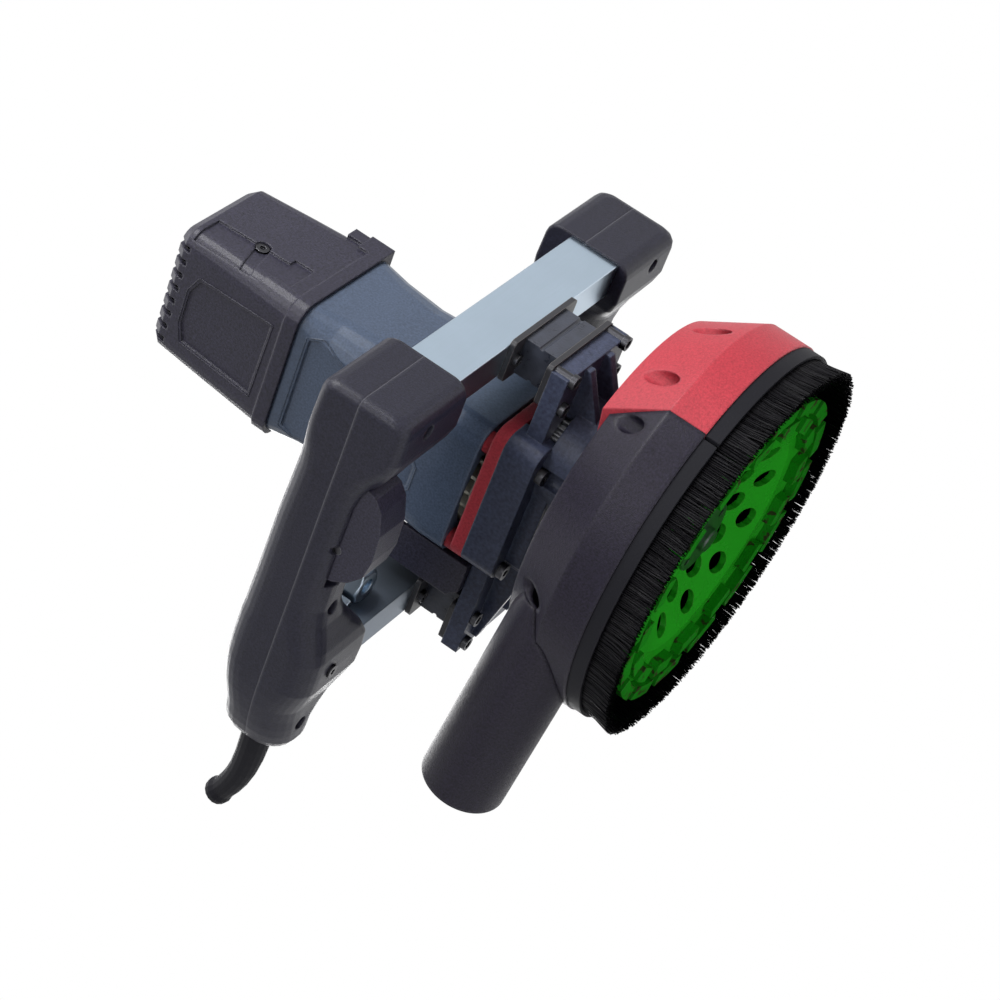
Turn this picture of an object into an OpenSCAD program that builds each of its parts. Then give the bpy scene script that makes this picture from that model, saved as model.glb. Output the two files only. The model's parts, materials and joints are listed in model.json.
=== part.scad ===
// Concrete edge grinder: a two-handed grinder whose motor stands over a cup wheel.
// The wheel turns inside a dust hood with a brush rim. Lengths are in millimetres.
// Z is the spindle axis, pointing up to the motor. The floor is z = 0, and the operator
// stands on the -Y side. The switch handle is on the +X side.

/* [Cup wheel] */
// Outer diameter of the cup wheel
wheel_d = 180; // [170:1:182]
// Height of the grinding face above the floor at rest
grind_gap = 4; // [2:0.5:6]
// Thickness of the steel plate
plate_t = 4; // [3:0.5:5]
// Rise of the plate's hub above its rim
dish_h = 13.5; // [11:0.5:15]
// Radius of the plate's flat hub
hub_r = 34; // [28:1:36]
// Width of the flat rim that carries the segments
wheel_rim_w = 26; // [22:1:28]
// Bore of the cup wheel
wheel_bore_d = 22.2; // [20:0.1:25]
// Diameter of the air holes
air_hole_d = 12.5; // [8:0.5:14]
// Number of air holes in each row
air_holes = 12; // [8:1:12]
// Radius of the outer row of air holes
air_row_outer_r = 53.5; // [52:0.5:55]
// Radius of the inner row of air holes
air_row_inner_r = 39.5; // [38:0.5:40]
// Height of the diamond segments
seg_h = 5.5; // [4:0.5:7]
// Radial width of an outer segment
outer_seg_w = 8; // [6:0.5:9]
// Radial width of an inner segment
inner_seg_w = 8.5; // [6:0.5:9]
// Radial gap between the two rows of segments
seg_row_gap = 3; // [2:0.5:5]
// Number of segments in each row
segs = 16; // [12:1:20]
// Part of the pitch that an outer segment fills
outer_seg_fill = 0.74; // [0.5:0.02:0.85]
// Part of the pitch that an inner segment fills
inner_seg_fill = 0.58; // [0.4:0.02:0.8]

/* [Spindle] */
// Diameter of the spindle's threaded end
spindle_thread_d = 14; // [12:0.5:15]
// Length of thread that stands out below the nut
spindle_nose = 4; // [3:0.5:5]
// Thickness of the locking nut
nut_t = 6; // [5:0.5:7]
// Diameter of the locking nut and of the seat flange
flange_d = 40; // [36:1:44]
// Height of the seat flange over the wheel
seat_flange_h = 7; // [6:0.5:9]
// Diameter of the circle of the four pin holes
pin_circle_d = 30; // [28:0.5:32]
// Diameter of the pin holes
pin_hole_d = 5; // [4:0.5:6]

/* [Gears] */
// Gear module
gear_module = 1.25; // [1.2:0.01:1.3]
// Teeth on the armature pinion
pinion_teeth = 11; // [10:1:12]
// Teeth on the spindle gear
wheel_teeth = 41; // [40:1:42]
// Width of the gear teeth
gear_face_w = 11; // [9:0.5:12]

/* [Dust hood] */
// Outer diameter of the hood's rim
hood_d = 218; // [212:1:230]
// Diameter of the hood's flat crown
crown_d = 183; // [176:1:188]
// Height of the upright rim
hood_rim_h = 21; // [18:1:24]
// Height of the sloping shoulder
shoulder_h = 26.5; // [24:0.5:30]
// Wall thickness of the hood
hood_t = 3.5; // [2.5:0.5:4]
// Extra height of the removable segment's crown
segment_lift = 4.5; // [3:0.5:6]
// Distance of the near seam from the spindle, towards the switch handle
seam_near = 55; // [50:1:60]
// Distance of the far seam from the spindle
seam_far = 76; // [70:1:80]
// Distance in front of the spindle at which the removable segment begins
seam_front = 43; // [41:1:46]
// Radius of the circle on which the hood screws stand
hood_screw_r = 100; // [99:0.5:101]
// Gap along the seams of the hood
seam_gap = 0.3; // [0.2:0.1:0.6]

/* [Brush rim] */
// Free length of the bristles
bristle_l = 16; // [14:0.5:20]
// Height of the band that holds the bristles
band_h = 8; // [7:0.5:10]
// Step of the band inside the hood's rim
band_step = 0.8; // [0.4:0.1:1.5]
// Radial depth of the tufts
tuft_depth = 6; // [5:0.5:7]
// Strands along each arc of bristles
arc_strands = 26; // [18:1:27]
// Outward splay of the strands' tips
splay = 2; // [0:0.25:2.5]
// Thickness of one strand
strand_d = 1.5; // [1:0.1:1.8]

/* [Dust port] */
// Outer diameter of the dust port
port_d = 47; // [44:1:48]
// Wall thickness of the dust port
port_t = 2.5; // [2:0.5:3]
// Distance of the port's mouth behind the spindle
port_reach = 155; // [140:1:170]
// Depth of the seat for a hose cuff in the port's mouth
cuff_depth = 30; // [20:1:40]
// Step that stops the cuff
cuff_stop = 1; // [0.5:0.1:1.5]
// Upward tilt of the port in degrees
port_tilt = 5.4; // [3:0.1:7]
// Height of the port's mouth above the floor
port_mouth_z = 58; // [57:0.5:60]

/* [Gear case and arms] */
// Height of the neck between hood and gear case
neck_h = 28.5; // [27:0.5:32]
// Diameter of the neck
neck_d = 66; // [62:1:68]
// Height of the gear case
case_h = 19.5; // [19:0.5:22]
// Half width of the gear case
case_half_w = 42; // [41:0.5:44]
// Reach of the gear case in front of the spindle
case_front = 16; // [14:1:18]
// Thickness of the arms that carry the dampers
arm_t = 10; // [8:0.5:11]
// Width of the arms
arm_w = 62; // [60:1:66]

/* [Fan flange] */
// Thickness of the flange between gear case and motor
fan_flange_t = 7; // [6:0.5:9]
// Height of the air gap under the motor housing
air_gap = 4.8; // [4:0.2:7]

/* [Motor] */
// Width of the motor housing
motor_w = 84; // [82:1:88]
// Length of the motor housing
motor_l = 116; // [112:1:124]
// Wall thickness of the motor housing at its flats
motor_t = 3; // [2.5:0.5:3.5]
// Length of the end cover
cover_l = 84; // [78:1:92]
// Depth of the end cover's sunk panels
cover_panel_depth = 1; // [0.6:0.1:1.2]
// Wall thickness of the end cover
cover_t = 3; // [2:0.5:4]
// Diameter of the armature core
armature_d = 44; // [40:1:46]
// Length of the armature core
armature_l = 46; // [40:1:52]
// Diameter of the fan
fan_d = 74; // [66:1:76]
// Number of fan blades
fan_blades = 24; // [12:1:28]

/* [Handle frame] */
// Height of the steel bars' section
bar_h = 30; // [28:1:32]
// Depth of the steel bars' section
bar_d = 20; // [18:1:22]
// Wall thickness of the steel bars
bar_t = 2; // [1.5:0.5:3]
// Distance of the front bar's middle from the spindle
front_bar_y = 46.7; // [45:0.1:50]
// Distance of the rear bar's middle behind the spindle
rear_bar_back = 118; // [116:0.5:124]
// Height of the rubber dampers with their plates
damper_h = 25.5; // [23:0.5:28]
// Thickness of the damper plates
damper_plate_t = 3; // [2:0.5:4]
// Width of the damper plates along the bar
damper_plate_w = 62; // [60:1:66]
// Width of the rubber block along the bar
rubber_w = 40; // [36:1:42]
// Depth of the rubber block
rubber_d = 22; // [20:1:24]
// Width across flats of the welded nut
weld_nut_af = 19; // [18:0.5:22]
// Length of the welded nut
weld_nut_l = 16; // [13:0.5:18]
// Distance of the welded nut from the middle of the bar
weld_nut_x = 66; // [60:0.5:67]

/* [Handles] */
// Clear width between the two handles' inner faces
handle_gap = 157.6; // [157:0.2:166]
// Width of a handle cap
cap_w = 56; // [54:0.5:60]
// Width of the hand grip
grip_w = 35; // [33:0.5:37]
// Length of the handle's tail behind the rear bar
tail_l = 63; // [58:1:70]
// Corner radius of the handle's front end
cap_r = 8; // [6:0.5:9]
// Wall between the front bar and the handle's front face
cap_wall = 1.7; // [1.2:0.1:3]
// Furthest turn of the trigger in degrees
trigger_turn = 8; // [6:0.5:8]
// Length of the trigger in front of its pin
trigger_reach = 43; // [40:0.5:44]
// Diameter of the trigger's pin
trigger_pin_d = 5; // [4:0.2:5.4]
// Outer diameter of the bend sleeve at the handle
sleeve_d = 17; // [15:0.5:18]
// Bore of the bend sleeve
sleeve_bore_d = 9; // [7:0.5:10]

/* [Hidden] */
$fn = 64;
eps = 0.01;
big = 400;

// Clearances that the fits share
run_gap = 0.03;
slip_gap = 0.1;
hole_gap = 0.3;

// Heights from the floor up to the seat flange
rim_z = grind_gap + seg_h;
hub_z = rim_z + dish_h;
hub_top = hub_z + plate_t;
nut_z = hub_z - nut_t;
nose_z = nut_z - spindle_nose;
shoulder_z = hub_top + seat_flange_h;
wheel_r = wheel_d / 2;
bore_r = wheel_bore_d / 2;
thread_r = spindle_thread_d / 2;
cone_foot_r = wheel_r - wheel_rim_w;

// Heights of the brush rim and the hood
band_z = bristle_l;
hood_z = band_z + band_h;
ridge_z = hood_z + hood_rim_h;
crown_z = ridge_z + shoulder_h;
hood_r = hood_d / 2;
crown_r = crown_d / 2;
band_r = hood_r - band_step;
tuft_outer_r = band_r - 2.2;
tuft_inner_r = tuft_outer_r - tuft_depth;
band_inner_r = tuft_inner_r - 1.8;
strip_h = 2.2;
strip_gap = 0.3;

// Angles of the seams, at the brush rim
near_angle = acos(seam_near / tuft_outer_r);
far_angle = acos(-seam_far / tuft_outer_r);
seam_mid = (near_angle + far_angle) / 2;
segment_sweep = far_angle - near_angle;
band_end_gap = 1.6;
main_arcs = 7;
segment_arcs = 2;

// Screws of the hood, as angles round the spindle
main_screw_angles = [
    for (off = [-161, -103, -45, 50, 104, 161]) seam_mid + off
];
segment_screw_angles = [for (side = [-1, 0, 1]) seam_mid + side * 28];
hood_screw_d = 5;
hood_head_d = 8.4;
hood_head_h = 4;
hood_seat_z = ridge_z - 3;
pocket_r = 5.2;
boss_r = 7;
neck_screw_r = 30;

// Neck, gear case, flange and motor
spigot_r = 24;
neck_r = neck_d / 2;
case_z = crown_z + neck_h;
flange_z = case_z + case_h;
motor_z = flange_z + fan_flange_t + air_gap;
cover_z = motor_z + motor_l;
motor_y = -gear_module * (pinion_teeth + wheel_teeth) / 2;
motor_half = motor_w / 2;
cavity_r = motor_half - motor_t;
case_back = motor_y - motor_half + 4;
case_screw_at = motor_half - 9;
case_screw_d = 5;

// Spindle seats
spindle_r = 8.5;
top_pivot_r = 4;
gear_seat_r = 8;
low_bearing_r = 17.5;
low_bearing_w = 10;
low_bearing_z = case_z - 16;
top_bearing_r = 11;
top_bearing_w = 7;
seal_r = 14;
seal_h = 6;
seal_z = crown_z + 3;
gear_z = low_bearing_z + low_bearing_w + 4;
chamber_z = gear_z - 1;
top_bearing_z = flange_z - 5.5;
chamber_r = gear_module * (wheel_teeth + 2) / 2 + 1.2;
pinion_room_r = gear_module * (pinion_teeth + 2) / 2 + 1.5;

// Armature
shaft_r = 6;
front_bearing_r = 12;
front_bearing_w = 6;
front_bearing_z = flange_z + fan_flange_t - front_bearing_w;
rear_bearing_r = 11;
rear_bearing_w = 7;
bridge_t = 9;
bridge_z = cover_z - bridge_t;
rear_pivot_r = 4;
fan_z = flange_z + fan_flange_t + 0.8;
fan_h = 14;
comm_l = 12;
comm_z = bridge_z - comm_l - 2;
winding_l = 8;
core_z = comm_z - winding_l - 1 - armature_l;
comm_r = 13;
stator_r = cavity_r - slip_gap;
stator_bore_r = armature_d / 2 + 0.8;

// Arms and dampers
arm_top = case_z + 15;
arm_z = arm_top - arm_t;
arm_half = arm_w / 2;
rear_bar_y = -rear_bar_back;
arm_lip = 14.3;
front_tip = front_bar_y + bar_d / 2 + 0.6;
rear_tip = rear_bar_y - arm_lip;
damper_y = [front_bar_y, rear_bar_y];
plate_d = 25.6;
arm_screw_x = 26;
arm_screw_y = 9;
arm_screw_d = 6;
top_screw_x = 25;
bar_z = arm_top + damper_h;
bar_mid_z = bar_z + bar_h / 2;

// Handles
handle_in = handle_gap / 2;
handle_out = handle_in + cap_w;
grip_in = handle_out - grip_w;
handle_front = front_bar_y + bar_d / 2 + cap_wall;
handle_end = rear_bar_y - tail_l;
handle_seam_z = bar_mid_z + 6.5;
cap_low = -22.3;
cap_high = 29.7;
cap_edge_r = 5;
tail_r = 34;
tail_out = handle_out - 0.8;
tail_in = handle_in + 16;
grip_x = handle_out - grip_w / 2;
bar_half_l = handle_in + 38;
grip_cavity_half = 12;
cavity_low = handle_seam_z - 6;
cavity_high = handle_seam_z + 20.5;
cavity_front = 20;
cavity_back = rear_bar_y + 34;
screw_x = handle_in + 33;

// Trigger and switch
pivot_y = -33;
pivot_z = handle_seam_z - 12.5;
slot_front = pivot_y + trigger_reach + 2;
slot_back = -58;
cheek_half = 11.3;
cheek_t = 3.2;
tongue_half = 3.5;
switch_z = cavity_low + trigger_reach * sin(trigger_turn) + 3;
plunger_y = pivot_y + 25;
pusher_z = handle_seam_z - 4;
plunger_r = 3;
spring_top = cavity_high - 3;
spring_z = handle_seam_z + 7.5;
spring_coil_r = 2.2;
spring_wire_r = 0.35;
spring_turns = 6;

// Bend sleeve: its middle line starts in the handle and bends up a little
sleeve_x = grip_x - 3;
sleeve_z = handle_seam_z - 0.5;
collar_r = 11;
collar_y = handle_end + 11;
sleeve_path = [
    [0, collar_y + 4, 0], [0, collar_y, 0], [0, handle_end + 6, 0], [0, handle_end, 0],
    [0, handle_end - 10, 0], [-0.5, handle_end - 20, 0.3], [-1, handle_end - 30, 1.3],
    [-1.5, handle_end - 39, 3.2], [-2, handle_end - 47, 5.8], [-2.5, handle_end - 54, 8.8],
    [-2.8, handle_end - 57, 10.3], [-3.1, handle_end - 60, 11.8],
];

// Colours
black = [0.13, 0.13, 0.15];
red = [0.84, 0.24, 0.3];
green = [0.1, 0.55, 0.17];
slate = [0.27, 0.32, 0.39];
casting = [0.16, 0.18, 0.23];
zinc = [0.74, 0.79, 0.83];
steel = [0.6, 0.61, 0.63];
copper = [0.72, 0.42, 0.2];
diamond = [0.42, 0.5, 0.4];

// A skin of triangles over rings of equal length, closed at both ends. The rings run
// anticlockwise, seen from the last one.
module loft(rings) {
    n = len(rings[0]);
    m = len(rings);
    points = [for (ring = rings) for (p = ring) p];
    sides = [
        for (i = [0:m - 2]) for (j = [0:n - 1])
            let (k = (j + 1) % n, a = i * n, b = (i + 1) * n)
            each [[a + j, b + j, a + k], [a + k, b + j, b + k]]
    ];
    first = [for (j = [1:n - 2]) [0, j, j + 1]];
    last = [for (j = [1:n - 2]) let (b = (m - 1) * n) [b, b + j + 1, b + j]];
    polyhedron(points = points, faces = concat(sides, first, last), convexity = 6);
}

// A tube of triangles round a path, with an outer and an inner ring at each point
module sleeve_skin(outer, inner) {
    n = len(outer[0]);
    m = len(outer);
    points = concat([for (ring = outer) for (p = ring) p], [for (ring = inner) for (p = ring) p]);
    shift = m * n;
    out_faces = [
        for (i = [0:m - 2]) for (j = [0:n - 1])
            let (k = (j + 1) % n, a = i * n, b = (i + 1) * n)
            each [[a + j, b + j, a + k], [a + k, b + j, b + k]]
    ];
    in_faces = [for (t = out_faces) [t[0] + shift, t[2] + shift, t[1] + shift]];
    end_faces = [
        for (j = [0:n - 1])
            let (k = (j + 1) % n, b = (m - 1) * n)
            each [
                [j, k, shift + j], [k, shift + k, shift + j],
                [b + j, shift + b + j, b + k], [b + k, shift + b + j, shift + b + k]
            ]
    ];
    polyhedron(points = points, faces = concat(out_faces, in_faces, end_faces), convexity = 8);
}

// A rectangle with round corners, as exact arcs
module round_rect(half_x, half_y, r) {
    square([2 * half_x - 2 * r, 2 * half_y], center = true);
    square([2 * half_x, 2 * half_y - 2 * r], center = true);
    for (sx = [-1, 1], sy = [-1, 1])
        translate([sx * (half_x - r), sy * (half_y - r)])
            circle(r = r, $fn = 48);
}

// One ring of a round-cornered rectangle at height z, anticlockwise seen from above
function rect_ring(half_x, half_y, r, z, steps = 5) = [
    for (corner = [0:3]) for (s = [0:steps])
        let (
            a = corner * 90 + s * 90 / steps,
            sx = corner == 0 || corner == 3 ? 1 : -1,
            sy = corner < 2 ? 1 : -1
        )
        [sx * (half_x - r) + r * cos(a), motor_y + sy * (half_y - r) + r * sin(a), z]
];

// A ring between two radii
module ring(r_out, r_in, h) {
    difference() {
        cylinder(r = r_out, h = h);
        translate([0, 0, -1]) cylinder(r = r_in, h = h + 2);
    }
}

// A socket screw, head down at z = 0, with its shank going up
module socket_screw(d, l, head_d, head_h) {
    difference() {
        translate([0, 0, -head_h]) cylinder(d = head_d, h = head_h, $fn = 32);
        translate([0, 0, -head_h - 1]) cylinder(d = d * 0.95, h = head_h * 0.55 + 1, $fn = 6);
    }
    cylinder(d = d, h = l, $fn = 32);
}

// Cup wheel, locking nut and seat flange
module wheel_plate() {
    color(green)
        difference() {
            rotate_extrude($fn = 96)
                polygon([
                    [bore_r, hub_z], [hub_r, hub_z], [cone_foot_r, rim_z], [wheel_r, rim_z],
                    [wheel_r, rim_z + plate_t], [cone_foot_r - 1, rim_z + plate_t],
                    [hub_r - 1, hub_top], [bore_r, hub_top]
                ]);
            for (i = [0:air_holes - 1]) {
                rotate((i + 0.5) * 360 / air_holes)
                    translate([air_row_outer_r, 0, 0]) cylinder(d = air_hole_d, h = hub_top + 1);
                rotate(i * 360 / air_holes)
                    translate([air_row_inner_r, 0, 0]) cylinder(d = air_hole_d, h = hub_top + 1);
            }
        }
}

module segment_row(r_out, w, fill, shift) {
    pitch = 360 / segs;
    for (i = [0:segs - 1])
        rotate((i + shift) * pitch - fill * pitch / 2)
            translate([0, 0, grind_gap])
                rotate_extrude(angle = fill * pitch)
                    translate([r_out - w, 0]) square([w, seg_h]);
}

module outer_segments() {
    color(diamond) segment_row(wheel_r, outer_seg_w, outer_seg_fill, 0);
}

module inner_segments() {
    color(diamond)
        segment_row(wheel_r - outer_seg_w - seg_row_gap, inner_seg_w, inner_seg_fill, 0.5);
}

module lock_nut() {
    color(steel)
        difference() {
            union() {
                translate([0, 0, nut_z]) cylinder(d = flange_d, h = nut_t);
                translate([0, 0, hub_z]) cylinder(r = bore_r - slip_gap, h = 1);
            }
            translate([0, 0, nut_z - 1]) cylinder(r = thread_r + run_gap, h = nut_t + 3);
            for (i = [0:3])
                rotate(45 + i * 90) translate([pin_circle_d / 2, 0, nut_z - 1])
                    cylinder(d = pin_hole_d, h = nut_t + 1);
        }
}

module seat_flange() {
    color(steel)
        difference() {
            union() {
                translate([0, 0, hub_top]) cylinder(d = flange_d, h = seat_flange_h - 3);
                translate([0, 0, hub_top]) cylinder(r = flange_d / 2 - 7, h = seat_flange_h);
                translate([0, 0, hub_top - plate_t + 1.2])
                    cylinder(r = bore_r - slip_gap, h = plate_t);
            }
            translate([0, 0, hub_z]) cylinder(r = thread_r + run_gap, h = big);
        }
}

// Spindle, gear, bearings and seal
module spindle() {
    color(steel)
        rotate_extrude()
            polygon([
                [0, nose_z], [thread_r - 1, nose_z], [thread_r, nose_z + 1], [thread_r, shoulder_z],
                [spindle_r, shoulder_z], [spindle_r, low_bearing_z + low_bearing_w],
                [spindle_r + 2, low_bearing_z + low_bearing_w], [spindle_r + 2, gear_z],
                [gear_seat_r, gear_z], [gear_seat_r, gear_z + gear_face_w],
                [top_pivot_r + 1.5, gear_z + gear_face_w], [top_pivot_r + 1.5, top_bearing_z],
                [top_pivot_r, top_bearing_z], [top_pivot_r, top_bearing_z + top_bearing_w],
                [0, top_bearing_z + top_bearing_w]
            ]);
}

// A gear whose flanks are involutes of the base circle, thinned a little for backlash
module spur_gear(teeth, h) {
    pitch_r = gear_module * teeth / 2;
    base_r = pitch_r * cos(20);
    tip_r = pitch_r + gear_module * 0.92;
    root_r = pitch_r - gear_module * 1.25;
    start_r = max(base_r, root_r + 0.05);
    steps = 3;
    half_thick = 90 / teeth - 0.6 * 57.3 * 0.12 / pitch_r;
    inv_pitch = tan(20) * 57.2958 - 20;
    flank = [
        for (s = [0:steps])
            let (
                r = start_r + (tip_r - start_r) * s / steps,
                roll = acos(min(1, base_r / r)),
                inv = tan(roll) * 57.2958 - roll
            )
            [r, half_thick + inv_pitch - inv]
    ];
    outline = [
        for (i = [0:teeth - 1])
            let (mid = i * 360 / teeth)
            each concat(
                [[root_r * cos(mid - flank[0][1] - 0.8), root_r * sin(mid - flank[0][1] - 0.8)]],
                [for (s = [0:steps]) let (f = flank[s]) f[0] * [cos(mid - f[1]), sin(mid - f[1])]],
                [for (s = [steps:-1:0]) let (f = flank[s]) f[0] * [cos(mid + f[1]), sin(mid + f[1])]],
                [[root_r * cos(mid + flank[0][1] + 0.8), root_r * sin(mid + flank[0][1] + 0.8)]]
            )
    ];
    linear_extrude(h) polygon(outline);
}

module spindle_gear() {
    tooth_turn = -90;
    color(steel)
        translate([0, 0, gear_z])
            difference() {
                rotate(tooth_turn) spur_gear(wheel_teeth, gear_face_w);
                translate([0, 0, -1]) cylinder(r = gear_seat_r + run_gap, h = gear_face_w + 2);
                translate([0, 0, gear_face_w - 2.5])
                    ring(gear_module * wheel_teeth / 2 - 5, gear_seat_r + 4, 4);
            }
}

module ball_bearing(r_out, r_in, w, balls) {
    ball_r = (r_out - r_in) * 0.27;
    mid_r = (r_out + r_in) / 2;
    wall = (r_out - r_in) * 0.24;
    difference() {
        ring(r_out, r_out - wall, w);
        translate([0, 0, w / 2]) rotate_extrude() translate([mid_r, 0]) circle(r = ball_r + 0.15, $fn = 32);
    }
    difference() {
        ring(r_in + wall, r_in + run_gap, w);
        translate([0, 0, w / 2]) rotate_extrude() translate([mid_r, 0]) circle(r = ball_r + 0.15, $fn = 32);
    }
    for (i = [0:balls - 1])
        rotate(i * 360 / balls) translate([mid_r, 0, w / 2]) sphere(r = ball_r, $fn = 32);
}

module spindle_bearings() {
    color(steel) {
        translate([0, 0, low_bearing_z])
            ball_bearing(low_bearing_r, spindle_r, low_bearing_w, 9);
        translate([0, 0, top_bearing_z])
            ball_bearing(top_bearing_r, top_pivot_r, top_bearing_w, 7);
    }
}

module shaft_seal() {
    color(black) translate([0, 0, seal_z]) ring(seal_r, spindle_r + 0.1, seal_h);
}

// Dust hood
module hood_form(shrink, lift) {
    low = shrink > 0 ? hood_z - 1 : hood_z;
    rotate_extrude($fn = 128)
        polygon([
            [0, low],
            [hood_r - shrink, low],
            [hood_r - shrink, ridge_z - shrink * 0.3],
            [crown_r - shrink * 0.8, crown_z + lift - shrink],
            [0, crown_z + lift - shrink]
        ]);
}

// The room that the removable segment takes, shrunk by a gap on its three seams
module segment_room(gap) {
    translate([-seam_far + gap, seam_front + gap, 0])
        cube([seam_near + seam_far - 2 * gap, big, big]);
}

module port_place() {
    port_x = hood_r - port_d / 2 - 4;
    translate([port_x, -port_reach, port_mouth_z]) rotate([-90 - port_tilt, 0, 0]) children();
}

module hood_bosses(angles) {
    for (a = angles)
        rotate(a) translate([hood_screw_r, 0, hood_z + hood_t / 2])
            cylinder(r = boss_r, h = big, $fn = 32);
}

module hood_pockets(angles) {
    for (a = angles)
        rotate(a) translate([hood_screw_r, 0, 0]) {
            translate([0, 0, hood_seat_z]) cylinder(r = pocket_r, h = big, $fn = 32);
            translate([0, 0, hood_z - 1]) cylinder(d = hood_screw_d + hole_gap, h = big, $fn = 32);
        }
}

module port_bore() {
    bore_d = port_d - 2 * port_t;
    port_place() {
        translate([0, 0, -1]) cylinder(d = bore_d - 2 * cuff_stop, h = port_reach - port_t);
        translate([0, 0, -1]) cylinder(d = bore_d, h = cuff_depth + 1);
    }
}

module main_hood() {
    color(black)
        difference() {
            union() {
                difference() {
                    hood_form(0, 0);
                    hood_form(hood_t, 0);
                }
                intersection() {
                    hood_form(hood_t / 2, 0);
                    hood_bosses(main_screw_angles);
                }
            }
            port_bore();
            hood_pockets(main_screw_angles);
            segment_room(0);
            translate([0, 0, crown_z - hood_t - 1]) cylinder(r = spigot_r + slip_gap, h = hood_t + 2);
            for (i = [0:3])
                rotate(45 + i * 90) translate([neck_screw_r, 0, crown_z - hood_t - 1])
                    cylinder(d = hood_screw_d + hole_gap, h = hood_t + 2, $fn = 32);
        }
}

// Tube that fits on the hood's skin, with the seat for a hose cuff in its mouth
module dust_port() {
    color(black)
        difference() {
            port_place() cylinder(d = port_d, h = port_reach);
            hood_form(-seam_gap / 2, 0);
            port_bore();
            hood_pockets(main_screw_angles);
            translate([-big / 2, -big / 2, hood_z - big]) cube(big);
        }
}

module hood_segment() {
    slope = atan(segment_lift / (crown_r * 0.8 - seam_front));
    color(red)
        difference() {
            union() {
                difference() {
                    hood_form(0, segment_lift);
                    hood_form(hood_t, segment_lift);
                }
                intersection() {
                    hood_form(hood_t / 2, segment_lift);
                    union() {
                        hood_bosses(segment_screw_angles);
                        translate([-seam_far, seam_front, crown_z - hood_t])
                            cube([seam_near + seam_far, 30, segment_lift + hood_t]);
                    }
                }
            }
            hood_pockets(segment_screw_angles);
            difference() {
                translate([-big / 2, -big / 2, 0]) cube([big, big, big]);
                segment_room(seam_gap);
            }
            translate([-big / 2, seam_front, crown_z]) rotate([slope, 0, 0])
                translate([0, -big / 2, 0]) cube([big, big / 2 + 30, 60]);
        }
}

module hood_screws() {
    color(black)
        for (a = concat(main_screw_angles, segment_screw_angles))
            rotate(a) translate([hood_screw_r, 0, hood_seat_z]) mirror([0, 0, 1])
                socket_screw(hood_screw_d, hood_seat_z - band_z - 3, hood_head_d, hood_head_h);
}

module neck_screws() {
    color(steel)
        for (i = [0:3])
            rotate(45 + i * 90) translate([neck_screw_r, 0, crown_z - hood_t])
                socket_screw(hood_screw_d, hood_t + 14, hood_head_d, 4.5);
}

// Brush rim: a band under the hood, and arcs of bristles on a backing strip
module band_form() {
    difference() {
        rotate_extrude($fn = 128)
            polygon([
                [band_inner_r, band_z], [tuft_inner_r - strip_gap, band_z],
                [tuft_inner_r - strip_gap, band_z + strip_h],
                [tuft_outer_r + strip_gap, band_z + strip_h],
                [tuft_outer_r + strip_gap, band_z], [band_r, band_z],
                [band_r, hood_z], [band_inner_r, hood_z]
            ]);
        for (a = concat(main_screw_angles, segment_screw_angles))
            rotate(a) translate([hood_screw_r, 0, band_z + strip_h + 0.2])
                cylinder(d = hood_screw_d + hole_gap, h = big, $fn = 32);
    }
}

module main_brush_band() {
    color(black)
        difference() {
            band_form();
            segment_room(-band_end_gap);
        }
}

module segment_brush_band() {
    color(black)
        intersection() {
            band_form();
            segment_room(seam_gap);
        }
}

// A steady scatter from -1 to 1 for strand i of row k
function scatter(i, k) = let (v = sin(i * 127.1 + k * 311.7) * 43.7) 2 * (v - floor(v)) - 1;

// An arc of strands of three sides, in two staggered rows, fused to a slice of backing
module bristle_arc(from, sweep) {
    step = sweep / arc_strands;
    root_z = band_z + strip_h / 2;
    lean = min(0.5, (tuft_outer_r * step * PI / 180 - strand_d) * 0.3);
    strands = [
        for (row = [0:1]) for (i = [0:arc_strands - 1])
            [row, i, from + (i + 0.3 + 0.4 * row) * step]
    ];
    points = [
        for (s = strands)
            let (
                mid = (s[0] == 0 ? tuft_inner_r + 1.4 : tuft_outer_r - 1.4),
                da = lean * scatter(s[1], s[0]),
                dr = 0.4 * scatter(s[1] + 50, s[0])
            )
            each [
                for (level = [0, 1]) for (c = [0:2])
                    let (
                        turn = s[2] + 90 + c * 120,
                        reach = strand_d * (level == 0 ? 0.5 : 0.58),
                        at = mid + (level == 0 ? dr + splay : 0),
                        side = level == 0 ? da : 0
                    )
                    [
                        at * cos(s[2]) - side * sin(s[2]) + reach * cos(turn),
                        at * sin(s[2]) + side * cos(s[2]) + reach * sin(turn),
                        level == 0 ? 0 : root_z
                    ]
            ]
    ];
    faces = [
        for (n = [0:len(strands) - 1])
            let (b = n * 6)
            each concat(
                [[b, b + 1, b + 2], [b + 3, b + 5, b + 4]],
                [
                    for (c = [0:2])
                        let (d = (c + 1) % 3)
                        each [[b + c, b + 3 + c, b + d], [b + d, b + 3 + c, b + 3 + d]]
                ]
            )
    ];
    translate([0, 0, band_z]) rotate(from)
        rotate_extrude(angle = sweep)
            translate([tuft_inner_r, 0]) square([tuft_depth, strip_h]);
    polyhedron(points = points, faces = faces, convexity = 10);
}

module main_bristles(n) {
    total = 360 - segment_sweep - 2 * band_end_gap;
    pitch = total / main_arcs;
    color(black) bristle_arc(far_angle + band_end_gap + (n - 1) * pitch + 0.15, pitch - 0.3);
}

module segment_bristles(n) {
    pitch = (segment_sweep - 1) / segment_arcs;
    color(black) bristle_arc(near_angle + 0.5 + (n - 1) * pitch + 0.15, pitch - 0.3);
}

// Gear case, neck, arms and gussets: one casting
module arm(from, to) {
    translate([-arm_half, min(from, to), arm_z]) cube([arm_w, abs(to - from), arm_t]);
}

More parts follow.
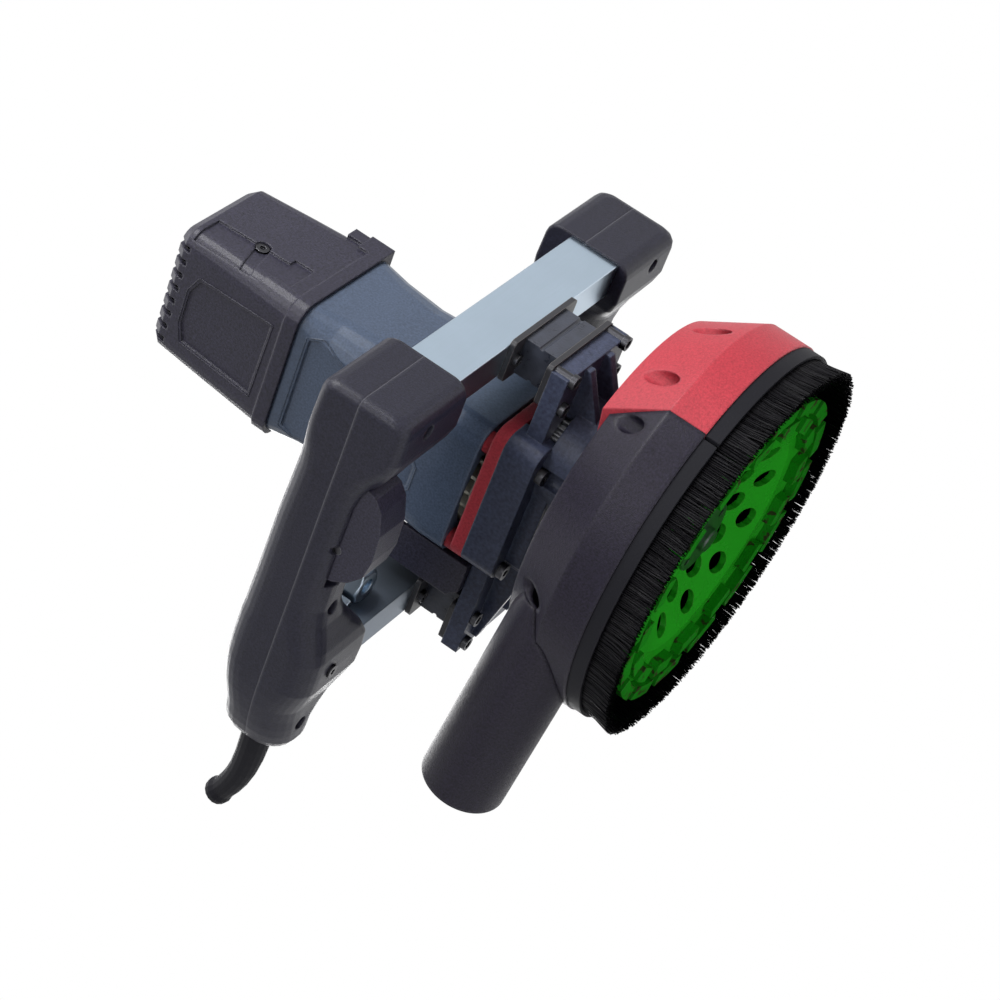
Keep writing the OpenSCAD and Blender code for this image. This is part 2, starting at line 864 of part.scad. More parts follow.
module gusset(x, tip, foot, low) {
    translate([x + 2.5, 0, 0]) rotate([90, 0, -90])
        linear_extrude(5)
            polygon([[-tip, arm_z + eps], [-tip, arm_z - 3], [-foot, low], [0, low], [0, arm_z + eps]]);
}

module case_outline() {
    half_y = (case_front - case_back) / 2;
    translate([0, (case_front + case_back) / 2]) round_rect(case_half_w, half_y, 9);
}

module case_screw_places() {
    for (sx = [-1, 1], sy = [-1, 1])
        translate([sx * case_screw_at, motor_y + sy * case_screw_at, 0]) children();
}

module gear_housing() {
    rear_low = case_z - 11;
    color(casting)
        difference() {
            union() {
                translate([0, 0, case_z]) linear_extrude(case_h) case_outline();
                translate([0, 0, crown_z]) cylinder(r = neck_r, h = neck_h + eps);
                translate([0, 0, crown_z - hood_t]) cylinder(r = spigot_r, h = hood_t + 1);
                translate([-30, motor_y - 32, rear_low + 2]) cube([60, 32 - motor_y, 11]);
                arm(0, front_tip);
                arm(0, rear_tip);
                for (x = [-10, 10]) gusset(x, front_tip - 1, neck_r - 4, case_z - 12);
                translate([-10, neck_r - 6, case_z - 14]) cube([20, 4, 20]);
                for (x = [-16, 16]) mirror([0, 1, 0]) gusset(x, -rear_tip - 6, -case_back, rear_low);
            }
            translate([0, 0, chamber_z]) cylinder(r = chamber_r, h = big);
            translate([0, motor_y, chamber_z]) cylinder(r = pinion_room_r, h = big);
            translate([0, 0, low_bearing_z]) cylinder(r = low_bearing_r + run_gap, h = big);
            translate([0, 0, 0]) cylinder(r = spindle_r + 1.5, h = big);
            translate([0, 0, seal_z]) mirror([0, 0, 1]) cylinder(r = spindle_r + 3, h = 60);
            translate([0, 0, seal_z]) cylinder(r = seal_r + run_gap, h = seal_h + 0.5);
            case_screw_places() cylinder(d = case_screw_d + hole_gap, h = big, $fn = 32);
            case_screw_places() translate([0, 0, case_z - 20]) cylinder(r = 5.4, h = 20);
            for (i = [0:3])
                rotate(45 + i * 90) translate([neck_screw_r, 0, crown_z - 1])
                    cylinder(d = hood_screw_d + hole_gap, h = 16, $fn = 32);
            damper_screw_places() cylinder(d = arm_screw_d + hole_gap, h = arm_t + 2, $fn = 32);
        }
}

module gear_case_screws() {
    color(black)
        case_screw_places() translate([0, 0, case_z])
            socket_screw(case_screw_d, motor_z - case_z + 14, 9, 4);
}

// Flange that carries the upper bearings and stands off the motor housing on four posts
module fan_flange() {
    boss_z = top_bearing_z - 1.5;
    color(red)
        difference() {
            union() {
                translate([0, 0, flange_z]) linear_extrude(fan_flange_t) case_outline();
                translate([0, 0, boss_z]) cylinder(r = top_bearing_r + 3, h = flange_z - boss_z + 1);
                case_screw_places() translate([0, 0, flange_z])
                    cylinder(r = 6, h = fan_flange_t + air_gap, $fn = 32);
            }
            translate([0, 0, boss_z - 1]) cylinder(r = top_bearing_r + run_gap, h = top_bearing_w + 2.5);
            translate([0, motor_y, front_bearing_z])
                cylinder(r = front_bearing_r + run_gap, h = big);
            translate([0, motor_y, 0]) cylinder(r = shaft_r + 1.2, h = big);
            case_screw_places() cylinder(d = case_screw_d + hole_gap, h = big, $fn = 32);
        }
}

// Motor housing: a rounded square that grows rounder towards its waist
module motor_skin() {
    loft([
        rect_ring(motor_half, motor_half, 12, motor_z),
        rect_ring(motor_half, motor_half, 12, motor_z + 16),
        rect_ring(motor_half - 0.6, motor_half - 0.6, 17, motor_z + 45),
        rect_ring(motor_half - 1, motor_half - 1, 20, motor_z + 74),
        rect_ring(motor_half - 0.6, motor_half - 0.6, 17, cover_z - 18),
        rect_ring(motor_half, motor_half, 12, cover_z)
    ]);
}

module motor_sunk_panels() {
    low = motor_z + 30 - cover_z;
    side_prism(motor_half - 1.9, [
        [29, -8], [-28, -8], [-31, -15], [-20, low + 4], [-15, low], [-2, low], [3, low + 4],
        [32, -15]
    ]);
}

module motor_housing() {
    color(slate)
        difference() {
            motor_skin();
            motor_sunk_panels();
            translate([0, motor_y, motor_z - 1]) cylinder(r = cavity_r, h = bridge_z - motor_z + 1);
            translate([0, motor_y, 0]) cylinder(r = rear_bearing_r - 2, h = big);
            translate([0, motor_y, bridge_z + bridge_t - rear_bearing_w])
                cylinder(r = rear_bearing_r + run_gap, h = big);
            for (i = [0:5])
                translate([0, motor_y, bridge_z - 1]) rotate(30 + i * 60) translate([25, 0, 0])
                    cylinder(r = 8, h = big, $fn = 32);
            case_screw_places() translate([0, 0, motor_z - 1])
                cylinder(d = case_screw_d + hole_gap, h = 16, $fn = 32);
        }
}

module stator_core() {
    color(steel)
        translate([0, motor_y, core_z])
            difference() {
                cylinder(r = stator_r, h = armature_l);
                translate([0, 0, -1]) cylinder(r = stator_bore_r, h = armature_l + 2);
                for (s = [-1, 1])
                    translate([0, s * 26, armature_l / 2])
                        cube([50, 9, armature_l + 2], center = true);
            }
}

module field_coils() {
    color(copper)
        for (s = [-1, 1])
            translate([0, motor_y + s * 26, core_z - 6])
                difference() {
                    translate([-24, -4, 0]) cube([48, 8, armature_l + 12]);
                    translate([-17, -5, 6 - eps]) cube([34, 10, armature_l + 2 * eps]);
                }
}

// Armature
module armature_shaft() {
    top = bridge_z + bridge_t;
    color(steel)
        translate([0, motor_y, 0])
            rotate_extrude($fn = 48)
                polygon([
                    [0, gear_z - 0.5], [4, gear_z - 0.5], [4, front_bearing_z - 2.2],
                    [shaft_r, front_bearing_z - 2.2], [shaft_r, top - rear_bearing_w],
                    [rear_pivot_r, top - rear_bearing_w], [rear_pivot_r, top], [0, top]
                ]);
}

module armature_core() {
    slots = 16;
    color(copper)
        translate([0, motor_y, core_z])
            difference() {
                union() {
                    cylinder(d = armature_d, h = armature_l);
                    translate([0, 0, -winding_l - 1])
                        cylinder(d = armature_d - 9, h = armature_l + 2 * winding_l + 1);
                }
                translate([0, 0, -20]) cylinder(r = shaft_r + run_gap, h = armature_l + 40);
                for (i = [0:slots - 1])
                    rotate(i * 360 / slots) translate([armature_d / 2 - 3, -0.8, -1])
                        cube([4, 1.6, armature_l + 2]);
            }
}

module commutator() {
    bars = 24;
    color(copper)
        translate([0, motor_y, comm_z])
            difference() {
                cylinder(r = comm_r, h = comm_l);
                translate([0, 0, -1]) cylinder(r = shaft_r + run_gap, h = comm_l + 2);
                for (i = [0:bars - 1])
                    rotate(i * 360 / bars) translate([comm_r - 1, -0.25, -1])
                        cube([2, 0.5, comm_l + 2]);
            }
}

module motor_fan() {
    hub = 14;
    color(steel)
        translate([0, motor_y, fan_z])
            difference() {
                union() {
                    cylinder(d = fan_d, h = 1.8);
                    cylinder(r = hub, h = fan_h);
                    for (i = [0:fan_blades - 1])
                        rotate(i * 360 / fan_blades)
                            translate([20, -0.8, 0]) cube([fan_d / 2 - 20.4, 1.6, fan_h]);
                }
                translate([0, 0, -1]) cylinder(r = shaft_r + run_gap, h = fan_h + 2);
            }
}

module pinion() {
    color(steel)
        translate([0, motor_y, gear_z])
            difference() {
                rotate(90 + 180 / pinion_teeth) spur_gear(pinion_teeth, gear_face_w);
                translate([0, 0, -1]) cylinder(r = 4 + run_gap, h = gear_face_w + 2);
            }
}

module armature_bearings() {
    color(steel)
        translate([0, motor_y, 0]) {
            translate([0, 0, front_bearing_z])
                ball_bearing(front_bearing_r, shaft_r, front_bearing_w, 8);
            translate([0, 0, cover_z - rear_bearing_w])
                ball_bearing(rear_bearing_r, rear_pivot_r, rear_bearing_w, 7);
        }
}

// Brush gear: holders that reach in from the housing wall, and the carbons in them
module brush_holders() {
    color("goldenrod")
        for (s = [0, 180])
            translate([0, motor_y, comm_z + 1]) rotate(s)
                difference() {
                    translate([comm_r + 1, -5, 0]) cube([cavity_r - comm_r - 1.8, 10, 10]);
                    translate([comm_r, -3.6, 1.4]) cube([cavity_r - comm_r - 3.4, 7.2, 7.2]);
                }
}

module carbon_brushes() {
    color("dimgray")
        for (s = [0, 180])
            translate([0, motor_y, comm_z + 2.6]) rotate(s)
                difference() {
                    translate([comm_r - 1, -3.4, 0]) cube([15, 6.8, 6.8]);
                    translate([0, 0, -1]) cylinder(r = comm_r + 0.15, h = 10);
                }
}

// End cover, with its collar, tapering sides and vents
module cover_skin(shrink, low) {
    collar = motor_half + 2;
    loft([
        rect_ring(collar - shrink, collar - shrink, 12 - shrink, low),
        rect_ring(collar - shrink, collar - shrink, 12 - shrink, cover_z + 8),
        rect_ring(collar - 1.3 - shrink, collar - 1.3 - shrink, 12 - shrink, cover_z + 9),
        rect_ring(collar - 5 - shrink, collar - 2.5 - shrink, 11 - shrink, cover_z + cover_l * 0.55),
        rect_ring(collar - 8 - shrink, collar - 4.2 - shrink, 10 - shrink, cover_z + cover_l - 5),
        rect_ring(collar - 12 - shrink, collar - 8 - shrink, 8 - shrink, cover_z + cover_l - shrink)
    ]);
}

// Cuts what its children cover down to a depth below the cover's skin
module cover_cut(depth) {
    difference() {
        children();
        cover_skin(depth, cover_z - 2);
    }
}

// A prism out through a side: points are along Y and up from the cover's foot
module side_prism(from, points) {
    for (s = [0, 1])
        mirror([s, 0, 0])
            translate([from, motor_y, cover_z]) rotate([90, 0, 90])
                linear_extrude(30) polygon(points);
}

// A prism out through the front: points are along X and up from the cover's foot
module front_prism(points) {
    translate([0, motor_y + 60, cover_z]) rotate([90, 0, 0]) linear_extrude(34) polygon(points);
}

module cover_sunk_panels() {
    cover_cut(cover_panel_depth)
        side_prism(20, [
            [23, 15], [-23, 16], [-23, cover_l - 20], [-13, cover_l - 16], [8, cover_l - 16],
            [18, cover_l - 21]
        ]);
    cover_cut(cover_panel_depth * 1.2)
        front_prism([
            [13, cover_l - 8], [13, 29], [8, 29], [8, 17], [30, 17], [30, 29], [36, 32],
            [34, cover_l - 8]
        ]);
    cover_cut(cover_t * 0.7)
        front_prism([[10, 43], [36, 38], [36, 45], [10, 51]]);
}

module end_cover() {
    vents = 8;
    vent_pitch = 8.6;
    vent_w = 3.4;
    color(black)
        difference() {
            union() {
                difference() {
                    union() {
                        cover_skin(0, cover_z);
                        translate([-motor_half - 2, motor_y + motor_half - 12, cover_z])
                            cube([14, 14, 15]);
                        translate([-motor_half - 1, motor_y + motor_half - 11, cover_z])
                            cube([8, 12, 25]);
                    }
                    cover_skin(cover_t, cover_z - 1);
                }
                cover_screw_place() translate([0, 0, -2]) cylinder(r = 6.5, h = 9);
            }
            cover_screw_place() translate([0, 0, -20]) cylinder(r = 4.2, h = 20);
            cover_screw_place() translate([0, 0, -1]) cylinder(r = 2.2, h = 20, $fn = 32);
            cover_sunk_panels();
            for (i = [0:vents - 1])
                translate([-motor_half, motor_y + (i - (vents - 1) / 2) * vent_pitch - vent_w / 2,
                    cover_z + cover_l - 9])
                    cube([2 * motor_half, vent_w, 20]);
        }
}

// Seat of the cover's screw: local +Z points into the cover
module cover_screw_place() {
    translate([13, motor_y + motor_half - 4, cover_z + 47]) rotate([90, 0, 0]) children();
}

module cover_screw() {
    color(steel) cover_screw_place() socket_screw(4, 6, 7.6, 2.6);
}

// Air guide on the operator's side of the motor
module air_guide() {
    half = 36;
    front = motor_y - motor_half;
    depth = 24;
    low = arm_top + 0.3;
    high = motor_z + 44;
    color(black)
        difference() {
            translate([-half, front - depth, low])
                rotate([90, 0, 90]) linear_extrude(2 * half)
                    polygon([
                        [0, 6], [6, 0], [depth, 0], [depth, high - low], [8, high - low],
                        [0, high - low - 14]
                    ]);
            translate([-half + 2.5, front - depth + 2.5, motor_z + 3])
                cube([2 * half - 5, depth, high - motor_z - 6]);
        }
}

// Dampers between the casting's arms and the steel bars
module damper_rubber(y) {
    color("dimgray")
        difference() {
            translate([-rubber_w / 2, y - rubber_d / 2, arm_top + damper_plate_t])
                cube([rubber_w, rubber_d, damper_h - 2 * damper_plate_t]);
            for (s = [-1, 1])
                translate([-big / 2, y + s * (rubber_d / 2 + 0.2), arm_top + damper_h / 2])
                    rotate([0, 90, 0]) cylinder(r = 1.4, h = big, $fn = 24);
        }
}

module front_damper() { damper_rubber(front_bar_y); }

module rear_damper() { damper_rubber(rear_bar_y); }

module damper_screw_places() {
    for (y = damper_y, sx = [-1, 1], sy = [-1, 1])
        translate([sx * arm_screw_x, y + sy * arm_screw_y, arm_z - 1]) children();
}

module damper_plates() {
    color(casting)
        difference() {
            for (y = damper_y, z = [arm_top, bar_z - damper_plate_t])
                translate([0, y, z]) linear_extrude(damper_plate_t)
                    round_rect(damper_plate_w / 2, plate_d / 2, 3);
            damper_screw_places()
                cylinder(d = arm_screw_d + hole_gap, h = arm_t + damper_plate_t + 2, $fn = 32);
            for (y = damper_y, sx = [-1, 1])
                translate([sx * top_screw_x, y, bar_z - damper_plate_t - 1])
                    cylinder(d = 4 + hole_gap, h = damper_plate_t + 2, $fn = 32);
        }
}

module damper_screws() {
    color(black) {
        damper_screw_places() translate([0, 0, 1])
            socket_screw(arm_screw_d, arm_t + damper_plate_t, 8, 3.2);
        for (y = damper_y, sx = [-1, 1])
            translate([sx * top_screw_x, y, bar_z - damper_plate_t])
                socket_screw(4, damper_plate_t + bar_t + 2, 7, 2.6);
    }
}

// Steel bars and the nut welded to the rear one
module steel_bar(y) {
    color(zinc)
        difference() {
            translate([-bar_half_l, y - bar_d / 2, bar_z]) cube([2 * bar_half_l, bar_d, bar_h]);
            translate([-bar_half_l - 1, y - bar_d / 2 + bar_t, bar_z + bar_t])
                cube([2 * bar_half_l + 2, bar_d - 2 * bar_t, bar_h - 2 * bar_t]);
            for (sx = [-1, 1]) {
                translate([sx * screw_x, y, 0]) cylinder(d = 5, h = big, $fn = 32);
                translate([sx * top_screw_x, y, bar_z - 1])
                    cylinder(d = 4 + hole_gap, h = bar_t + 2, $fn = 32);
            }
        }
}

module front_bar() { steel_bar(front_bar_y); }

module rear_bar() { steel_bar(rear_bar_y); }

module weld_nut() {
    face_y = rear_bar_y + bar_d / 2;
    across = weld_nut_af / cos(30);
    color(zinc)
        translate([weld_nut_x, face_y + weld_nut_af / 2, bar_mid_z - 3.5]) {
            difference() {
                union() {
                    intersection() {
                        rotate(0) cylinder(d = across, h = weld_nut_l, $fn = 6);
                        rotate_extrude($fn = 48)
                            polygon([
                                [0, 0], [weld_nut_af / 2 - 0.4, 0], [across / 2, 1.6],
                                [across / 2, weld_nut_l - 1.6], [weld_nut_af / 2 - 0.4, weld_nut_l],
                                [0, weld_nut_l]
                            ]);
                    }
                    for (s = [-1, 1])
                        translate([s * across * 0.36, -weld_nut_af / 2, 2])
                            linear_extrude(weld_nut_l - 4)
                                polygon([[-s * 2, 0], [s * 5, 0], [s * 1.5, 4]]);
                }
                translate([0, 0, -1]) cylinder(r = 5.1, h = weld_nut_l + 2);
            }
        }
}

// Handles. Each ring of the skin holds: distance along Y, inner and outer side,
// underside and top from the middle of the bar, and the inner and outer corner radius.
function end_inset(d, r) = d >= r ? 0 : r - sqrt(r * r - (r - d) * (r - d));

front_rings = [
    for (d = [0, 0.7, 2.3, 4.8, cap_r])
        let (i = end_inset(d, cap_r), k = end_inset(d, cap_edge_r))
        [
            handle_front - d, handle_in, handle_out - k, cap_low + i, cap_high - i,
            1.5, cap_edge_r + 1
        ]
];
body_rings = [
    [handle_front - 24, handle_in, handle_out, cap_low, cap_high + 0.5, 1.5, 6],
    [handle_front - 31, handle_in + 1, handle_out, cap_low + 2, cap_high + 0.8, 3, 7],
    [handle_front - 38, handle_in + 5, handle_out, cap_low + 5, cap_high + 1.1, 6, 9],
    [handle_front - 46, handle_in + 12, handle_out, cap_low + 8.6, cap_high + 1.4, 10, 12],
    [handle_front - 54, grip_in - 3, handle_out + 0.2, cap_low + 11.2, cap_high + 1.8, 13, 14],
    [handle_front - 63, grip_in, handle_out + 0.4, cap_low + 12.6, cap_high + 2.2, 14, 14.5],
    [handle_front - 90, grip_in, handle_out + 0.5, cap_low + 13, cap_high + 3.2, 14, 14.5],
    [rear_bar_y + 42, grip_in, handle_out + 0.6, cap_low + 12.5, cap_high + 3.8, 14, 15],
    [rear_bar_y + 32, grip_in - 3, handle_out + 0.8, cap_low + 10.5, cap_high + 4, 13, 15],
    [rear_bar_y + 24, handle_in + 12, handle_out + 0.9, cap_low + 7.7, cap_high + 4.1, 11, 15],
    [rear_bar_y + 17, handle_in + 6, handle_out + 1, cap_low + 5.1, cap_high + 4.2, 7, 14],
    [rear_bar_y + 10.5, handle_in + 3, handle_out + 1, cap_low + 3.6, cap_high + 4.2, 4, 14],
    [rear_bar_y, handle_in + 2.5, handle_out + 1, cap_low + 3.3, cap_high + 4.1, 3, 14],
    [rear_bar_y - 11, handle_in + 2.5, handle_out + 1, cap_low + 3.5, cap_high + 3.6, 4, 14],
    [rear_bar_y - 19, handle_in + 4, handle_out + 0.8, cap_low + 5.6, cap_high + 3, 6, 15],
    [rear_bar_y - 28, handle_in + 8, handle_out + 0.2, cap_low + 8, cap_high + 1.8, 9, 16],
    [rear_bar_y - 36, handle_in + 12.5, tail_out, cap_low + 8.3, cap_high + 0.2, 11, 17],
];
tail_rings = [
    for (d = [20, 14, 8, 4, 1, 0])
        let (i = end_inset(d, 10))
        [
            handle_end + d, tail_in + end_inset(d, 12) * 0.4,
            tail_out - end_inset(d, tail_r) * 0.42,
            cap_low + 8.2 + i, cap_high - 1.5 - i, 12, 17
        ]
];

// Corner of a ring, as seven points of an arc from the start angle
function ring_corner(x, z, r, start, y) = [
    for (k = [0:6]) let (a = start + k * 15) [x + r * cos(a), y, z + r * sin(a)]
];

function handle_ring(s) =
    let (
        limit = 0.98 * min(s[2] - s[1], s[4] - s[3]) / 2,
        ri = min(s[5], limit),
        ro = min(s[6], limit),
        low = bar_mid_z + s[3],
        high = bar_mid_z + s[4]
    )
    concat(
        ring_corner(s[2] - ro, high - ro, ro, 0, s[0]),
        ring_corner(s[1] + ri, high - ri, ri, 90, s[0]),
        ring_corner(s[1] + ri, low + ri, ri, 180, s[0]),
        ring_corner(s[2] - ro, low + ro, ro, 270, s[0])
    );

module handle_skin() {
    rings = [for (s = concat(front_rings, body_rings, tail_rings)) handle_ring(s)];
    loft(rings);
}

// Places of the three screws of a handle: X, Y and the height of the head's seat
handle_screw_spots = [
    [screw_x, front_bar_y, bar_z - 2.3],
    [screw_x, rear_bar_y, bar_z - 2.3],
    [grip_x, rear_bar_y + 42, bar_z + 12],
    [grip_x - 4, rear_bar_y - 42, bar_z + 12],
];

module grip_cavity() {
    chamfer = 5;
    low = cavity_low;
    high = cavity_high;
    h = grip_cavity_half;
    translate([grip_x, cavity_front, 0]) rotate([90, 0, 0])
        linear_extrude(cavity_front - cavity_back)
            polygon([
                [-h, low], [h, low], [h, high - chamfer], [h - chamfer, high],
                [-h + chamfer, high], [-h, high - chamfer]
            ]);
}

module handle_cuts() {
    for (y = [front_bar_y, rear_bar_y])
        translate([0, y - bar_d / 2 - slip_gap, bar_z - slip_gap])
            cube([bar_half_l + slip_gap, bar_d + 2 * slip_gap, bar_h + 2 * slip_gap]);
    grip_cavity();
    for (s = handle_screw_spots) {
        translate([s[0], s[1], s[2] - 60]) cylinder(d = 8.4, h = 60, $fn = 32);
        translate([s[0], s[1], s[2] - 1]) cylinder(d = 4 + hole_gap, h = 32, $fn = 32);
    }
}

module handle_half(upper) {
    difference() {
        handle_skin();
        handle_cuts();
        translate([0, -big, upper ? handle_seam_z - big : handle_seam_z])
            cube([big, 2 * big, big]);
    }
}

module sleeve_seat() {
    translate([sleeve_x, collar_y + 5, sleeve_z]) rotate([90, 0, 0])
        cylinder(r = sleeve_d / 2 + 0.5, h = 60, $fn = 48);
    translate([sleeve_x, collar_y + 4.3, sleeve_z]) rotate([90, 0, 0])
        cylinder(r = collar_r + 0.5, h = 4.8, $fn = 48);
}

module switch_handle_top() {
    color(black) difference() {
        handle_half(true);
        sleeve_seat();
    }
}

module switch_handle_bottom() {
    color(black)
        difference() {
            union() {
                difference() {
                    handle_half(false);
                    sleeve_seat();
                    translate([grip_x - grip_cavity_half, slot_back, 0])
                        cube([2 * grip_cavity_half, slot_front - slot_back, cavity_low + 1]);
                }
                translate([grip_x - tongue_half, slot_back - 1, pivot_z - 4])
                    cube([2 * tongue_half, pivot_y + 6 - slot_back, 9]);
            }
            translate([0, pivot_y, pivot_z]) rotate([0, 90, 0])
                cylinder(r = trigger_pin_d / 2 + run_gap, h = big, $fn = 48);
        }
}

module plain_handle_top() {
    color(black) mirror([1, 0, 0]) handle_half(true);
}

module plain_handle_bottom() {
    color(black) mirror([1, 0, 0]) handle_half(false);
}

module handle_screws() {
    color(steel)
        for (side = [0, 1]) mirror([side, 0, 0])
            for (s = handle_screw_spots)
                translate(s) socket_screw(4, 28, 7.6, 3);
}

// Trigger: a moulded channel that straddles a tongue of the handle
module trigger_outline(inset) {
    y = pivot_y;
    z = pivot_z;
    i = inset;
    polygon([
        [y + trigger_reach - i, z + 6.5], [y + trigger_reach - i, z - 4],
        [y + trigger_reach - 2 - i, z - 10 + i * 0.6],
        [y + trigger_reach - 8 - i * 0.7, z - 15 + i], [y + 22, z - 18.6 + i],
        [y + 6, z - 19.4 + i], [y - 6 + i * 0.3, z - 17.4 + i],
        [y - 14 + i * 0.7, z - 11 + i * 0.6],
        [y - 19 + i, z - 3], [y - 20.5 + i, z + 3], [y - 20.5 + i, z + 6.5]
    ]);
}

module trigger_slab(half, inset) {
    translate([grip_x - half, 0, 0]) rotate([90, 0, 90])
        linear_extrude(2 * half) trigger_outline(inset);
}

module trigger() {
    inner = cheek_half - cheek_t;
    color(black)
        difference() {
            union() {
                difference() {
                    trigger_slab(cheek_half, 0);
                    translate([0, 0, eps]) trigger_slab(inner, cheek_t);
                }
                translate([grip_x - inner - 0.5, plunger_y - 6, pusher_z - 3])
                    cube([2 * inner + 1, 12, 3]);
            }
            translate([grip_x - tongue_half - 0.6, pivot_y - 30, pivot_z - 9])
                cube([2 * tongue_half + 1.2, 20, 30]);
            translate([0, pivot_y, pivot_z]) rotate([0, 90, 0])
                cylinder(r = trigger_pin_d / 2 + run_gap, h = big, $fn = 48);
        }
}

module trigger_pin() {
    color(steel)
        translate([grip_x - cheek_half, pivot_y, pivot_z]) rotate([0, 90, 0])
            cylinder(d = trigger_pin_d, h = 2 * cheek_half, $fn = 48);
}

module switch_block() {
    color("dimgray")
        difference() {
            translate([grip_x - 6.5, plunger_y - 18, switch_z])
                cube([13, 30, cavity_high - switch_z]);
            translate([grip_x, plunger_y, switch_z - 1])
                cylinder(r = plunger_r + run_gap, h = spring_top - switch_z + 1, $fn = 48);
        }
}

module switch_plunger() {
    color("ivory")
        translate([grip_x, plunger_y, pusher_z + 0.3])
            cylinder(r = plunger_r, h = spring_z - pusher_z - 0.6, $fn = 48);
}

// Rings of a wire that winds up round its axis
module plunger_spring() {
    sides = 6;
    per_turn = 8;
    count = spring_turns * per_turn;
    rise = (spring_top - spring_z - 2 * spring_wire_r - 0.2) / count;
    slope = atan(rise * per_turn / (2 * PI * spring_coil_r));
    rings = [
        for (i = [0:count])
            let (a = i * 360 / per_turn, z = spring_z + spring_wire_r + 0.1 + i * rise)
            [
                for (j = [0:sides - 1])
                    let (
                        b = j * 360 / sides,
                        u = spring_wire_r * cos(b),
                        v = -spring_wire_r * sin(b),
                        r = spring_coil_r + u
                    )
                    [
                        r * cos(a) + v * sin(slope) * sin(a),
                        r * sin(a) - v * sin(slope) * cos(a),
                        z + v * cos(slope)
                    ]
            ]
    ];
    color(steel) translate([grip_x, plunger_y, 0]) loft(rings);
}

// Bend sleeve: a tapering rubber tube with a collar in the handle and a bead at its end
function sleeve_r(i) =
    i == 0 ? collar_r : i == 1 ? collar_r : i == 10 ? sleeve_d / 2 - 0.6 : i == 11 ? sleeve_d / 2 - 0.9
    : sleeve_d / 2 - max(0, i - 3) * 0.3;

function sleeve_ring(i, r, sides = 16) =
    let (
        n = len(sleeve_path),
        a = sleeve_path[max(0, i - 1)],
        b = sleeve_path[min(n - 1, i + 1)],
        p = sleeve_path[i],
        d = (b - a) / norm(b - a),
        u = [1, 0, 0] - d * d[0],
        side = u / norm(u),
        up = cross(d, side)
    )
    [for (j = [0:sides - 1]) let (t = j * 360 / sides) p + r * cos(t) * side + r * sin(t) * up];

module bend_sleeve() {
    last = len(sleeve_path) - 1;
    order = [0, 1, 1, 2, 3, 4, 5, 6, 7, 8, 9, 10, 11];
    outer = [
        for (k = [0:len(order) - 1])
            sleeve_ring(order[k], k == 2 ? sleeve_d / 2 : sleeve_r(order[k]))
    ];
    inner = [for (k = [0:len(order) - 1]) sleeve_ring(order[k], sleeve_bore_d / 2)];
    color(black) translate([sleeve_x, 0, sleeve_z]) sleeve_skin(outer, inner);
}

wheel_plate();
outer_segments();
inner_segments();
lock_nut();
seat_flange();
spindle();
spindle_gear();
spindle_bearings();
shaft_seal();
main_hood();
dust_port();
hood_segment();
hood_screws();
neck_screws();
main_brush_band();
segment_brush_band();
main_bristles(1);  // main_bristles_1
main_bristles(2);  // main_bristles_2
main_bristles(3);  // main_bristles_3
main_bristles(4);  // main_bristles_4
main_bristles(5);  // main_bristles_5
main_bristles(6);  // main_bristles_6
main_bristles(7);  // main_bristles_7
segment_bristles(1);  // segment_bristles_1
segment_bristles(2);  // segment_bristles_2
gear_housing();
gear_case_screws();
fan_flange();
motor_housing();
stator_core();
field_coils();
armature_shaft();
armature_core();
commutator();
motor_fan();
pinion();
armature_bearings();
brush_holders();
carbon_brushes();
end_cover();
cover_screw();
air_guide();
front_damper();
rear_damper();
damper_plates();
damper_screws();
front_bar();
rear_bar();
weld_nut();
switch_handle_top();
switch_handle_bottom();
plain_handle_top();
plain_handle_bottom();
handle_screws();
trigger();
trigger_pin();
switch_block();
switch_plunger();
plunger_spring();
bend_sleeve();
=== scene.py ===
# %% [markdown]
# # Concrete edge grinder: a lesson in dressing a CAD assembly
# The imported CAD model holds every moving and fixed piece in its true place. This lesson loads it as a
# frame, gives each piece the finish of the real one, and adds what CAD leaves out, such as the dense
# brush. Nothing here moves a CAD piece: looks and small trim are all that it adds.

# %% Load the frame
import json
import math

import bpy
import numpy as np
from mathutils import Matrix, Vector
from mathutils.bvhtree import BVHTree


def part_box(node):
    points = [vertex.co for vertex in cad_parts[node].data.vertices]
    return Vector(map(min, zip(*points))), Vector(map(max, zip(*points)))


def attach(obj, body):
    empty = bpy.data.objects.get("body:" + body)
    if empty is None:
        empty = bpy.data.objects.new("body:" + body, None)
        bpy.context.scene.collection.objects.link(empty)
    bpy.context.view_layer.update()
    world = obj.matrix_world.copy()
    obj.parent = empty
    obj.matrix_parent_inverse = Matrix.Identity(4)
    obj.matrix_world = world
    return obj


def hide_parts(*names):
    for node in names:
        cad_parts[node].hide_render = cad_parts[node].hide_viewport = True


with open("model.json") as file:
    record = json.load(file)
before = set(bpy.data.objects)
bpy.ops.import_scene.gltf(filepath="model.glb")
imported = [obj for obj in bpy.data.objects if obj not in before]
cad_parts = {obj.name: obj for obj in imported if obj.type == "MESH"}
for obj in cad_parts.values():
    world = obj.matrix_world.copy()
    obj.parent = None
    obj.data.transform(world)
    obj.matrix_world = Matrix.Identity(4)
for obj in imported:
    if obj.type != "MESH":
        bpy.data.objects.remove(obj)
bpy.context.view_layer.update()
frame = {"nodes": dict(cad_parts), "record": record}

# %% [markdown]
# ## Camera
# The picture was taken with a long lens from below the grinder's working plane, so that the wheel is
# seen. A camera could be aimed with a tracking constraint, but its roll matters here, because the
# grinder lies tilted in the frame. The three axes of the camera are therefore written down directly.

# %% Camera
CAMERA_AT = Vector((1.16484, 0.89740, -0.26867))
CAMERA_RIGHT = Vector((-0.51642, 0.30051, -0.80188))
CAMERA_UP = Vector((-0.41466, 0.73155, 0.54120))
CAMERA_BACK = CAMERA_RIGHT.cross(CAMERA_UP).normalized()
LENS_MM = 106.82
SENSOR_MM = 36.0


